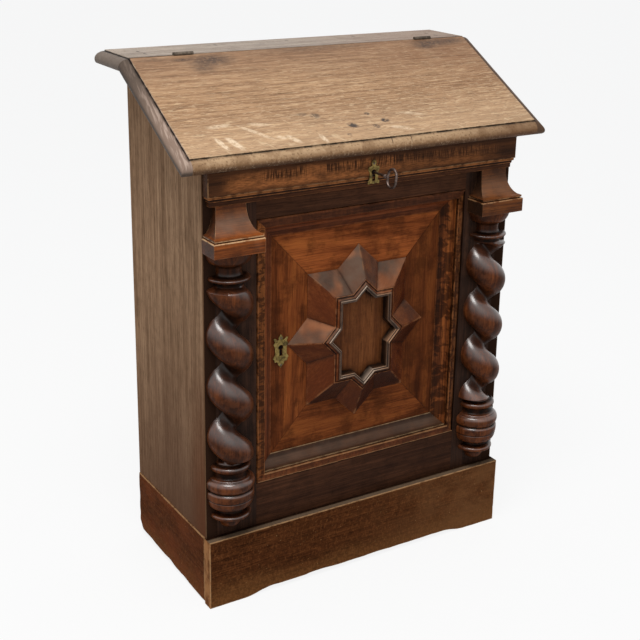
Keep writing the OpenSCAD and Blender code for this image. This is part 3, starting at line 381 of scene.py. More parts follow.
def tube(path: np.ndarray, radius: np.ndarray | float, sides: int = 16, closed: bool = False,
         flat: float = 1.0) -> Skin:
    """A round rod along a path in a plane of constant x: each ring is a circle square to the path.

    Args:
        path: Points along the middle.
        radius: Radius at each point.
        sides: Points round the rod.
        closed: True where the path joins its own start.
        flat: Thickness along x as a share of the rod's width.

    Returns:
        The rod's surface.
    """
    ahead = np.roll(path, -1, 0) - np.roll(path, 1, 0)
    if not closed:
        ahead[0], ahead[-1] = path[1] - path[0], path[-1] - path[-2]
    ahead /= np.linalg.norm(ahead, axis=1)[:, None]
    side = np.tile([1.0, 0, 0], (len(path), 1))
    up = np.cross(ahead, side)
    a = np.linspace(0, 2 * pi, sides, endpoint=False)
    r = np.broadcast_to(radius, len(path))[:, None, None]
    across = np.cos(a)[None, :, None] * side[:, None] * flat
    rings = path[:, None] + r * (across + np.sin(a)[None, :, None] * up[:, None])
    wear = np.full(rings.shape[:2], 0.3)
    return sweep(rings[:, ::-1], rings[:, ::-1], wear, closed_path=closed)


def mark(mesh: bpy.types.Mesh, domain: str = "POINT", **values: np.ndarray) -> None:
    """Stores one number a point, or one a face corner, under each name."""
    for key, numbers in values.items():
        layer = mesh.attributes.new(key, "FLOAT", domain)
        layer.data.foreach_set("value", np.asarray(numbers, np.float32))


def facing(mesh: bpy.types.Mesh) -> dict[str, np.ndarray]:
    """How the surface faces at each face corner, as up, left and sheen.

    Sheen is where a painted sheen goes, standing in for a reflection of the bright sky: a step of the upward
    part of the normal times how squarely it faces the front and left. Up and left steer painted light and shade.

    Args:
        mesh: The shaded mesh.

    Returns:
        Values for each face corner under each name.
    """
    normals = np.empty(len(mesh.loops) * 3, np.float32)
    mesh.corner_normals.foreach_get("vector", normals)
    normals = normals.reshape(-1, 3)
    step = np.clip(normals[:, 2] / 0.35, 0, 1)
    square = np.clip((normals @ [-0.5, -0.8, 0.32] - 0.5) / 0.5, 0, 1)
    return {"up": normals[:, 2], "left": np.clip(-normals[:, 0], 0, 1), "sheen": step * step * (3 - 2 * step) * square}


def dress(name: str, skin: Skin, finish: bpy.types.Material, body: str, nodes: list[str],
          sharp: float = 38.0) -> bpy.types.Object:
    """Puts a surface into the scene as a piece that rides on a body.

    Args:
        name: The piece's name.
        skin: Its surface.
        finish: Its material.
        body: The body that it moves with.
        nodes: The CAD nodes that it stands for.
        sharp: Angle in degrees past which an edge stays crisp.

    Returns:
        The new object.
    """
    mesh = bpy.data.meshes.new(name)
    faces = [tuple(int(v) for v in f) for block in skin.faces for f in block]
    mesh.from_pydata(skin.points.tolist(), [], faces)
    mesh.validate()
    count = len(skin.points)
    dirt = skin.dirt if skin.dirt is not None else np.zeros(count)
    mark(mesh, wear=skin.wear, dirt=dirt, shade=np.full(count, skin.shade))
    layer = mesh.attributes.new("grain", "FLOAT_VECTOR", "POINT")
    layer.data.foreach_set("vector", skin.grain.astype(np.float32).ravel())
    mesh.shade_smooth()
    mesh.set_sharp_from_angle(angle=radians(sharp))
    mark(mesh, "CORNER", **facing(mesh))
    mesh.materials.append(finish)
    piece = shown(name, mesh)
    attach(piece, body)
    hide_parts(*nodes)
    LOG.info("%s: %d points on %s", name, len(skin.points), body)
    return piece


class Tree:
    """The node tree of a material or a world, with short names for the nodes that the finishes use."""

    def __init__(self, owner: bpy.types.Material | bpy.types.World) -> None:
        """Empties the owner's tree."""
        owner.use_nodes = True
        self.owner = owner
        self.nodes, self.links = owner.node_tree.nodes, owner.node_tree.links
        self.nodes.clear()

    def put(self, socket: Socket, value: object) -> None:
        """Sets a socket to a value, or links it where the value is itself a socket."""
        if isinstance(value, Socket):
            self.links.new(value, socket)
        elif value is not None:
            socket.default_value = value

    def node(self, kind: str, inputs: dict[int | str, object], out: int | str = 0, **settings: object) -> Socket:
        """Adds a node.

        Args:
            kind: Its type, without the words that all types start with.
            inputs: Values or sockets, each under its input's name or number.
            out: Name or number of the output that is wanted.
            settings: The node's own settings.

        Returns:
            That output.
        """
        node = self.nodes.new("ShaderNode" + kind)
        for key, value in settings.items():
            setattr(node, key, value)
        for key, value in inputs.items():
            self.put(node.inputs[key], value)
        return node.outputs[out]

    def attribute(self, name: str, out: str = "Fac") -> Socket:
        """A value that the piece's points carry."""
        return self.node("Attribute", {}, out, attribute_name=name)

    def place(self) -> Socket:
        """The point's place in the chest's own axes."""
        return self.node("TexCoord", {}, "Object")

    def math(self, kind: str, a: object, b: object = None, clamp: bool = False) -> Socket:
        """One sum on numbers."""
        return self.node("Math", {0: a, 1: b}, operation=kind, use_clamp=clamp)

    def times(self, first: object, *others: object, clamp: bool = False) -> Socket:
        """The product of the values."""
        for other in others:
            first = self.math("MULTIPLY", first, other, clamp)
        return first

    def plus(self, first: object, *others: object) -> Socket:
        """The sum of the values."""
        for other in others:
            first = self.math("ADD", first, other)
        return first

    def minus(self, a: object, b: object, clamp: bool = False) -> Socket:
        """The first value less the second."""
        return self.math("SUBTRACT", a, b, clamp)

    def axis(self, vector: object, which: str) -> Socket:
        """One part of a vector."""
        return self.node("SeparateXYZ", {0: vector}, which)

    def vector(self, x: object, y: object, z: object) -> Socket:
        """Three numbers as a vector."""
        return self.node("CombineXYZ", {0: x, 1: y, 2: z})

    def noise(self, vector: object, by: float | Triple, detail: float = 3.0, rough: float = 0.6,
              twist: float = 0.0) -> Socket:
        """Noise from 0 to 1 with waves about 1 / by metres long, on all axes or on each."""
        sizes = by if isinstance(by, tuple) else (by, by, by)
        scaled = self.node("VectorMath", {0: vector, 1: sizes}, operation="MULTIPLY")
        return self.node("TexNoise", {"Vector": scaled, "Scale": 1.0, "Detail": detail, "Roughness": rough,
                                      "Distortion": twist}, "Fac")

    def span(self, value: object, low: float, high: float, to_low: float = 0.0, to_high: float = 1.0) -> Socket:
        """A smooth step of a value from one range to another."""
        ends = {"From Min": low, "From Max": high, "To Min": to_low, "To Max": to_high}
        return self.node("MapRange", {"Value": value, **ends}, "Result", interpolation_type="SMOOTHSTEP")

    def ramp(self, value: object, stops: list[tuple[float, Triple]]) -> Socket:
        """Shades along a value: the lowest stop, the highest, then those between."""
        node = self.nodes.new("ShaderNodeValToRGB")
        self.put(node.inputs[0], value)
        marks = node.color_ramp.elements
        for k, (at, shade) in enumerate(stops):
            mark = marks[k] if k < 2 else marks.new(at)
            mark.position = at
            mark.color = tone(*shade)
        return node.outputs["Color"]

    def mix(self, amount: object, a: object, b: object) -> Socket:
        """Two colours mixed by an amount."""
        return self.node("Mix", {0: amount, 6: a, 7: b}, 2, data_type="RGBA")

    def tint(self, colour: object, shade: Triple, *amounts: object, clamp: bool = False) -> Socket:
        """A colour mixed towards a shade, from 0 to 255, by the product of the amounts."""
        return self.mix(self.times(*amounts, clamp=clamp), colour, tone(*shade))

    def near(self, vector: object, spot: Triple, size: Triple, soft: float = 0.6, turn: float = 0.0) -> Socket:
        """1 inside an oval round a spot, falling to 0 at its edge; turn is its angle about the third axis."""
        oval = {"Vector": vector, "Location": spot, "Rotation": (0.0, 0.0, turn), "Scale": size}
        away = self.node("VectorMath", {0: self.node("Mapping", oval, vector_type="TEXTURE")}, "Value",
                         operation="LENGTH")
        return self.span(away, 1.0, 1.0 - soft)

    def split(self, kind: str, share: float, given: Socket, seen: Socket) -> None:
        """Ends the tree in one shader for the light that falls on things and another for what is seen.

        Args:
            kind: Output node, Material or World.
            share: How much of the second shader shows to the camera, in reflections and through glass.
            given: Shader for the light that it gives.
            seen: Shader that is seen.
        """
        rays = self.nodes.new("ShaderNodeLightPath").outputs
        others = self.math("MAXIMUM", rays["Is Glossy Ray"], rays["Is Transmission Ray"])
        visible = self.math("MAXIMUM", rays["Is Camera Ray"], others)
        both = self.node("MixShader", {0: self.times(visible, share), 1: given, 2: seen})
        self.put(self.nodes.new("ShaderNodeOutput" + kind).inputs[0], both)

    def finish(self, colour: object, rough: object, height: object, bump: float, metal: float = 0.0,
               coat: object = 0.0, coat_rough: float = 0.3, specular: float = 0.5) -> bpy.types.Material:
        """Joins colour, roughness and height to the surface shader.

        Args:
            colour: Base colour.
            rough: Roughness.
            height: Height in millimetres.
            bump: Strength of the bump.
            metal: 1 for a metal.
            coat: Weight of the polish over the colour.
            coat_rough: Roughness of the polish.
            specular: Specular level.

        Returns:
            The finished material.
        """
        normal = self.node("Bump", {"Strength": bump, "Distance": MM, "Height": height})
        shader = self.node("BsdfPrincipled", {
            "Base Color": colour, "Roughness": rough, "Metallic": metal, "Coat Weight": coat,
            "Coat Roughness": coat_rough, "Coat IOR": 1.75, "Specular IOR Level": specular, "Normal": normal})
        self.put(self.nodes.new("ShaderNodeOutputMaterial").inputs[0], shader)
        return self.owner


@dataclass(frozen=True)
class Wood:
    """A wood finish: stained, waxed and worn timber with bands, lines, fibres, pores and rubbed arrises.

    The three weights are the shares of broad bands, of lines and of fibres in the figure. A spot is a place, a radius
    and a darkness.
    """

    name: str
    dark: Triple
    mid: Triple
    light: Triple
    worn: Triple
    grain: Grain = Grain.BOARD
    bands: float = 24.0
    weights: Triple = (0.4, 0.35, 0.25)
    contrast: float = 1.0
    twist: float = 0.6
    pores: float = 0.45
    cross: float = 0.0
    cross_size: Triple = (130.0, 55.0, 55.0)
    mottle: float = 0.3
    mottle_size: float = 30.0
    wear: float = 0.45
    even: float = 0.0
    # Darkening by soiling and painted shade in corners and hollows
    dirt: float = 0.85
    # Painted sheen: its strength, then its grey and its warm colour
    bloom: float = 0.0
    pale: Triple = (150, 126, 106)
    pink: Triple = (158, 112, 80)
    # Painted light and shade on faces turned left: the colour they take, and after it how strongly
    side: Triple = (26, 20, 16)
    # Painted shade on faces turned down
    under: float = 0.0
    flank: float = 0.0
    rough: float = 0.42
    bump: float = 0.5
    coat: float = 0.0
    coat_rough: float = 0.3
    specular: float = 0.05
    specks: float = 0.0
    spots: tuple[tuple[float, float, float, float, float], ...] = ()

    def deep(self, share: float) -> Triple:
        """The darkest colour at a share of its strength."""
        return tuple(share * c for c in self.dark)

    def along(self, t: Tree) -> Socket:
        """Coordinates with the first axis along the grain."""
        if self.grain is Grain.BOARD:
            return t.attribute("grain", "Vector")
        p = t.place()
        x, y, z = (t.axis(p, k) for k in "XYZ")
        order = {Grain.X: (x, z, y), Grain.Y: (y, z, x), Grain.Z: (z, x, y)}[self.grain]
        return t.vector(*order)

    def colour(self, t: Tree) -> tuple[Socket, Socket, Socket]:
        """The bare wood's colour, its height in millimetres and the amount of its pores.

        Bands, lines and fibres are noise drawn out along the grain at three widths, added by their weights. Pores are
        the peaks of a finer noise. Cross marks run over the grain and mottles lie where they like.

        Args:
            t: The material's nodes.

        Returns:
            Colour, height and pores.
        """
        g = self.along(t)
        sizes = ((1.6, self.bands, self.bands), (5, 190, 190), (16, 760, 760))
        noises = [t.noise(g, size, 3, 0.6, self.twist) for size in sizes]
        value = t.plus(*(t.times(n, w) for n, w in zip(noises, self.weights)))
        half = 0.17 / self.contrast
        colour = t.ramp(t.span(value, 0.5 - half, 0.5 + half), [(0, self.dark), (1, self.light), (0.5, self.mid)])
        pore = t.span(t.noise(g, (44, 820, 820), 2, 0.5), 0.57, 0.66)
        colour = t.tint(colour, self.deep(0.55), pore, self.pores)
        if self.cross:
            bars = t.span(t.noise(g, self.cross_size, 3, 0.6, 0.4), 0.56, 0.44)
            colour = t.tint(colour, self.deep(0.5), bars, self.cross)
        mottle = t.span(t.noise(t.place(), self.mottle_size, 4, 0.65), 0.56, 0.36)
        colour = t.tint(colour, self.deep(0.6), mottle, self.mottle)
        height = t.minus(t.times(noises[2], 0.25), t.times(pore, 0.35))
        return colour, height, pore

    def aged(self, t: Tree, colour: object) -> Socket:
        """The colour with a painted sheen on faces turned up and to the front, painted shade on faces turned down,
        painted light and shade on faces turned left, rubbed arrises, soiling and painted shade in the corners, specks
        and spots.

        Args:
            t: The material's nodes.
            colour: The colour so far.

        Returns:
            The aged colour.
        """
        p = t.place()
        uneven = t.noise(p, 70)
        if self.bloom:
            # Painted sheen: a grey and warm mix over faces turned up and to the front, standing in for reflected sky
            cloud = t.span(t.noise(p, 26), 0.3, 0.7, 0.7, 1.25)
            sheen_amount = t.times(t.attribute("sheen"), cloud)
            pale = t.mix(t.span(t.noise(p, 15, 2, 0.6), 0.44, 0.62), tone(*self.pale), tone(*self.pink))
            colour = t.mix(t.times(sheen_amount, self.bloom, clamp=True), colour, pale)
        if self.under:
            # Painted shade: faces turned down go darker
            below = t.span(t.attribute("up"), -0.05, -0.6, 0, self.under)
            colour = t.tint(colour, self.deep(0.5), below)
        if self.flank:
            # Painted light and shade: faces turned left take the side colour
            colour = t.tint(colour, self.side, t.attribute("left"), self.flank)
        colour = t.tint(colour, self.deep(0.4), t.attribute("shade"), 1, clamp=True)
        rub = t.times(t.attribute("wear"), t.span(uneven, 0.34, 0.6, self.even, 1))
        colour = t.tint(colour, self.worn, t.span(rub, 0.1, 0.9), self.wear)
        # Soiling and painted shade in corners, hollows and grooves darken the colour
        grime_and_shade = t.times(t.attribute("dirt"), t.span(uneven, 0.72, 0.4, 0.5, 1))
        colour = t.tint(colour, (20, 12, 8), grime_and_shade, self.dirt)
        if self.specks:
            speck = t.span(t.noise(p, 250, 1, 0.5), 0.74, 0.79)
            colour = t.tint(colour, (168, 128, 84), speck, self.specks)
        for x, y, z, radius, deep in self.spots:
            spot = t.near(p, (x, y, z), (radius, radius * 4, radius), 0.5)
            colour = t.tint(colour, (12, 9, 8), spot, deep)
        return colour

    def extra(self, t: Tree, colour: object) -> Socket:
        """What one finish adds to the bare wood; here nothing."""
        return colour

    def make(self) -> bpy.types.Material:
        """Builds the material."""
        t = Tree(bpy.data.materials.new(self.name))
        colour, height, pore = self.colour(t)
        colour = self.aged(t, self.extra(t, colour))
        smear = t.noise(t.place(), 22, 3, 0.65)
        rough = t.plus(self.rough - 0.08, t.times(smear, 0.16))
        rough = t.math("ADD", rough, t.times(pore, 0.2), clamp=True)
        wavy = t.times(t.noise(t.place(), 45, 2, 0.5), 0.4)
        coat: object = 0
        if self.coat:
            # No polish over the soiling and painted shade
            unsoiled_unshaded = t.minus(1, t.attribute("dirt"), clamp=True)
            coat = t.times(unsoiled_unshaded, t.span(t.attribute("up"), 0, 0.5, 0.05, self.coat))
        return t.finish(colour, rough, t.plus(height, wavy), self.bump, coat=coat,
                        coat_rough=self.coat_rough, specular=self.specular)


@dataclass(frozen=True)
class LidWood(Wood):
    """The lid's oak, with ink stains, knots and pale flames where the photo has them.

    A mark is its middle across and down from the hinge line, its two radii, its turn in degrees and its strength.
    """

    hinge_y: float = 0.0864
    hinge_z: float = 0.917
    slope: float = radians(29)
    half: float = 0.356
    long: float = 0.268
    moulding: float = 0.0179
    blend: float = 0.0012

    def on_lid(self, t: Tree) -> Socket:
        """Coordinates on the lid's face: across, down the slope, and off the face."""
        p = t.place()
        y, z = t.minus(self.hinge_y, t.axis(p, "Y")), t.minus(self.hinge_z, t.axis(p, "Z"))
        c, s = cos(self.slope), sin(self.slope)
        return t.vector(t.axis(p, "X"), t.plus(t.times(y, c), t.times(z, s)), t.minus(t.times(y, s), t.times(z, c)))

    def extra(self, t: Tree, colour: object) -> Socket:
        """Adds the lid's own marks, the dark seam at the hinge line and the mouldings' colours."""
        q = self.on_lid(t)
        x, down, off = (t.axis(q, k) for k in "XYZ")
        flat = t.vector(x, down, 0)
        colour = t.tint(colour, (116, 86, 70), t.span(down, 0.12, 0), 0.42)
        colour = t.tint(colour, (212, 178, 142), t.span(down, 0.14, 0.24, 0, 0.34))
        colour = t.tint(colour, (126, 86, 60), t.span(x, -0.05, 0.3), t.span(down, 0.2, 0.05),
                        t.span(t.noise(flat, (12, 34, 1)), 0.35, 0.65, 0.3, 1), 0.5)
        colour = t.mix(t.span(off, -0.018, -0.012), colour, self.marked(t, colour, flat, x, down))
        fine = t.noise(flat, (60, 420, 1), 2)
        colour = t.tint(colour, (40, 28, 22), t.span(down, 0.0022, 0.0008), t.span(fine, 0.3, 0.5, 0.5, 1),
                        t.span(t.math("ABSOLUTE", x), 0.2, 0.25, 0.3, 1), 0.9)
        front = t.span(down, self.long - self.moulding - self.blend, self.long - self.moulding)
        colour = t.mix(front, colour, self.nose(t, flat, x, off))
        return self.ends(t, colour, x, down, off)

    def marked(self, t: Tree, colour: object, flat: Socket, x: Socket, down: Socket) -> Socket:
        """Adds flames and dashes of the figure, then stains, knots and pale marks in their places.

        Args:
            t: The material's nodes.
            colour: The colour so far.
            flat: Coordinates on the face.
            x: Across the lid.
            down: Down the slope.

        Returns:
            The marked colour.
        """
        slant = t.vector(t.minus(x, t.times(down, 0.8)), down, 0)
        flame = t.span(t.noise(slant, (75, 40, 1), 2, 0.5, 0.6), 0.62, 0.74)
        colour = t.tint(colour, (222, 196, 160), flame, t.span(down, 0.14, 0.24), 0.5)
        for size, low, high, deep, shade in (((46, 330, 60), 0.57, 0.67, 0.42, (220, 190, 154)),
                                             ((80, 560, 60), 0.58, 0.66, 0.35, (224, 196, 162)),
                                             ((100, 460, 60), 0.59, 0.69, 0.42, (92, 64, 46))):
            dash = t.span(t.noise(self.along(t), size, 2, 0.55, 0.5), low, high)
            colour = t.tint(colour, shade, dash, t.span(down, 0, 0.2, 0.35, 1), deep)
        uneven = t.noise(flat, (130, 160, 1), 3, 0.7)
        for marks, shade, soft, low, high in ((PALE_MARKS, (232, 208, 178), 0.55, 0.36, 0.56),
                                              (STAINS, (62, 54, 52), 1, 0.2, 0.6),
                                              (KNOTS, (52, 50, 52), 0.6, 0.38, 0.52)):
            for across, below, wide, tall, turn, deep in marks:
                spot = t.near(flat, (across * MM, below * MM, 0), (wide * MM, tall * MM, 1), soft, radians(turn))
                colour = t.tint(colour, shade, spot, t.span(uneven, low, high, 0.2, 1), deep)
        return colour

    def nose(self, t: Tree, flat: Socket, x: Socket, off: Socket) -> Socket:
        """The front moulding's colour: darker downwards with painted shade on its underside, darker to the right,
        speckled, with two cracks.

        Args:
            t: The material's nodes.
            flat: Coordinates on the face.
            x: Across the lid.
            off: Off the face.

        Returns:
            That colour.
        """
        # Painted shade: the moulding darkens down its profile to its underside
        nose = t.ramp(t.span(off, -0.02, -0.001), [(0, (66, 43, 28)), (1, (182, 150, 116)),
                                                   (0.34, (92, 64, 43)), (0.68, (146, 113, 82))])
        speck = t.noise(t.place(), 240)
        patch = t.noise(flat, (26, 26, 1), 3, 0.5)
        for shade, amount in (((84, 58, 38), t.span(speck, 0.54, 0.68, 0, 0.55)),
                              ((196, 168, 136), t.span(speck, 0.46, 0.34, 0, 0.35)),
                              ((110, 78, 50), t.span(patch, 0.5, 0.64, 0, 0.45)),
                              ((92, 60, 38), t.span(x, 0.08, 0.35, 0, 0.6))):
            nose = t.tint(nose, shade, amount)
        for crack in (0.028, 0.0666):
            split = t.near(flat, (crack, self.long - 0.012, 0), (0.0011, 0.009, 1), 0.4, 0.15)
            nose = t.tint(nose, (58, 42, 32), split, 0.8)
        return nose

    def ends(self, t: Tree, colour: object, x: Socket, down: Socket, off: Socket) -> Socket:
        """Adds the left moulding's grey, with a painted highlight streaked along its ridge and stronger towards the
        front, painted shade under the ridge, and the right one's brown.

        Args:
            t: The material's nodes.
            colour: The colour so far.
            x: Across the lid.
            down: Down the slope.
            off: Off the face.

        Returns:
            The finished colour.
        """
        edge = self.half - self.moulding
        slant = t.vector(t.plus(x, t.times(down, 0.12)), down, 0)
        streak = t.noise(slant, (330, 26, 1), 3, 0.6, 0.3)
        grey = t.mix(t.span(down, 0.02, 0.2), tone(84, 71, 62), tone(136, 114, 100))
        # Painted highlight: pale streaks along the left moulding's ridge
        grey = t.tint(grey, (176, 154, 140), t.span(streak, 0.46, 0.62), t.span(down, 0.03, 0.2, 0.15, 0.85),
                      t.span(off, -0.0105, -0.005))
        # Painted shade on the left moulding's underside
        grey = t.tint(grey, (62, 52, 46), t.span(off, -0.009, -0.015, 0, 0.8))
        colour = t.mix(t.span(x, self.blend - edge, -edge), colour, grey)
        brown = t.mix(streak, tone(58, 42, 32), tone(104, 78, 58))
        return t.mix(t.span(x, edge - self.blend, edge), colour, brown)


# Marks on the lid, in millimetres: middle across and down from the hinge line, radii; then turn in degrees, strength
STAINS = [
    (-200, 20, 62, 24, 0, 0.85), (-252, 14.5, 30, 7, 0, 0.8), (-222, 40, 36, 20, 0, 0.6), (250, 14, 66, 20, 0, 0.85),
    (235, 24, 30, 12, 0, 0.55), (303, 12, 50, 16, 0, 0.7), (20, 6, 200, 12, 0, 0.4), (-300, 10, 50, 8, 0, 0.4)]
KNOTS = [
    (-27.3, 214.5, 13, 8, 20, 0.9), (39.2, 209.9, 11, 7, 0, 0.9), (15.4, 222.3, 9, 6, 30, 0.8),
    (13.7, 190.1, 7, 5, 0, 0.8), (-83.4, 182.7, 12, 9, 0, 0.6), (-105, 176, 14, 6, 0, 0.4), (-45, 235, 6, 4, 0, 0.5)]
PALE_MARKS = [
    (-273, 226.5, 21, 6.5, 69, 0.85), (-251.5, 227.5, 24, 8, 60, 0.85), (-205, 208, 42, 5.5, 40, 0.55),
    (-95.5, 238, 14, 6, 74, 0.8), (-148, 232, 18, 7, 48, 0.65), (-168, 225, 12, 6, 20, 0.6), (60, 232, 30, 6, 18, 0.5),
    (-190, 190, 24, 5, 10, 0.45), (-260, 185, 26, 6, -4, 0.55), (100, 200, 30, 5, 14, 0.4)]


@dataclass(frozen=True)
class TopWood(Wood):
    """The top board's oak, greyer than the lid's, dark along the joint."""

    joint: float = 0.0868
    edge: float = 0.3381

    def extra(self, t: Tree, colour: object) -> Socket:
        """Adds the ends' dark mouldings, the right half's warmer tone and the dark joint with the lid."""
        p = t.place()
        x, away = t.axis(p, "X"), t.math("ABSOLUTE", t.axis(p, "X"))
        colour = t.tint(colour, (138, 108, 88), t.span(x, -0.05, 0.25, 0, 0.5))
        colour = t.tint(colour, (98, 84, 74), t.span(away, self.edge - 0.0012, self.edge, 0, 0.85))
        seam = t.span(t.axis(p, "Y"), self.joint + 0.0022, self.joint + 0.0008)
        return t.tint(colour, (44, 32, 26), seam, t.span(away, 0.2, 0.25, 0.35, 1), 0.75)


@dataclass(frozen=True)
class SideWood(Wood):
    """A side panel's oak: dark on its front edge, redder and darker towards the floor."""

    face: float = -0.1073
    low: Triple = (94, 67, 52)

    def extra(self, t: Tree, colour: object) -> Socket:
        """Mixes in the lower colour by height and depth, then a dark strip along the front edge."""
        p = t.place()
        y, z = t.axis(p, "Y"), t.axis(p, "Z")
        cloud = t.times(t.minus(t.noise(p, (5, 5, 3), 3, 0.5), 0.5), 0.4)
        height = t.plus(z, cloud, t.times(t.plus(y, 0.107), 0.45))
        colour = t.tint(colour, self.low, t.span(height, 0.6, 0.1), 0.92)
        red = t.span(y, self.face + 0.075, self.face + 0.01)
        colour = t.tint(colour, (96, 50, 28), red, t.span(z, 0.5, 0.2), 0.5)
        return t.tint(colour, (46, 30, 22), t.span(y, self.face + 0.0022, self.face + 0.0012))


@dataclass(frozen=True)
class PlinthWood(Wood):
    """The plinth's oak: pale end grain at the front board's ends, golden-brown where shoes have worn its foot."""

    end: float = 0.31
    front: float = -0.1033

    def extra(self, t: Tree, colour: object) -> Socket:
        """Adds the worn foot, fine speckle, painted light on faces turned left, the end grain, and the dust on the
        ledge with painted shade in its corner against the face.
        """
        p = t.place()
        x, y = t.axis(p, "X"), t.axis(p, "Y")
        fine = t.noise(p, (260, 260, 200), 3, 0.65)
        cloud = t.times(t.minus(t.noise(p, (12, 12, 20), 4), 0.5), 0.05)
        colour = t.tint(colour, (126, 76, 42), t.span(fine, 0.5, 0.66, 0, 0.32))
        foot = t.span(t.plus(t.axis(p, "Z"), cloud), 0.062, 0)
        colour = t.tint(colour, (124, 82, 46), foot, t.span(fine, 0.35, 0.6, 0.6, 1), 0.6)
        colour = t.tint(colour, (116, 78, 48), t.span(x, -0.05, 0.3, 0, 0.7), t.span(cloud, -0.01, 0.008, 0.1, 1))
        # Painted light: faces turned left go lighter and redder
        colour = t.tint(colour, (120, 62, 34), t.attribute("left"), t.span(cloud, -0.012, 0.014, 0, 0.6))
        grain = t.span(t.noise(p, (300, 60, 40)), 0.35, 0.6)
        front = t.span(y, self.front + 0.001, self.front)
        sawn = t.span(t.math("ABSOLUTE", x), self.end - 0.0016, self.end - 0.0008)
        colour = t.mix(t.times(sawn, front, 0.9), colour, t.mix(grain, tone(112, 70, 40), tone(168, 118, 76)))
        # Grey dust on the ledge, with painted shade as a black strip in its corner against the face
        ledge_dust_and_shade = t.mix(t.span(y, self.front - 0.013, self.front - 0.009), tone(104, 88, 72), tone(12, 9, 8))
        return t.mix(t.times(t.span(t.attribute("up"), 0.7, 0.9), front, 0.8), colour, ledge_dust_and_shade)


@dataclass(frozen=True)
class RubbedWood(Wood):
    """A dark wood rubbed to a paler colour along the middle of its height, with cross ripples."""

    rubbed: Triple = (172, 106, 60)
    z0: float = 0.7285
    z1: float = 0.765
    amount: float = 0.85

    def extra(self, t: Tree, colour: object) -> Socket:
        """Mixes in the rubbed colour in a band of height, with a comb of upright dark marks near its top."""
        p = t.place()
        x, z = t.axis(p, "X"), t.axis(p, "Z")
        soft = (self.z1 - self.z0) * 0.25
        upper = t.plus(z, t.times(t.minus(t.noise(p, 9), 0.5), 0.02))
        comb = t.times(t.span(t.noise(p, (420, 30, 40), 2, 0.5), 0.42, 0.56),
                       t.span(z, self.z1 - 0.026, self.z1 - 0.014),
                       t.span(t.noise(p, 9, 2, 0.5), 0.4, 0.52))
        return t.tint(colour, self.rubbed,
                      t.span(z, self.z0, self.z0 + soft), t.span(upper, self.z1, self.z1 - soft),
                      t.span(x, -0.29, -0.25), t.span(x, 0.28, 0.22),
                      t.span(t.noise(p, (22, 7, 60), 4, 0.65), 0.34, 0.6, 0.3, 1),
                      t.span(x, -0.02, 0.1, 1, 0.5),
                      t.span(t.noise(p, (90, 40, 620)), 0.36, 0.58, 0.4, 1),
                      t.minus(1, comb), self.amount)


@dataclass(frozen=True)
class Metal:
    """A metal finish: dull with age, brighter where it is handled."""

    name: str
    base: Triple
    dull: Triple
    rough: float = 0.45
    metal: float = 1.0
    pits: float = 0.5

    def make(self) -> bpy.types.Material:
        """Builds the material."""
        t = Tree(bpy.data.materials.new(self.name))
        p = t.place()
        cloud = t.noise(p, 130, 4, 0.65)
        fine = t.noise(p, 900)
        colour = t.mix(t.span(cloud, 0.36, 0.62), tone(*self.base), tone(*self.dull))
        rough = t.math("ADD", self.rough - 0.12, t.times(cloud, 0.3), clamp=True)
        height = t.plus(t.times(fine, 0.1 * self.pits), t.times(cloud, 0.35 * self.pits))
        return t.finish(colour, rough, height, 0.5, metal=self.metal)


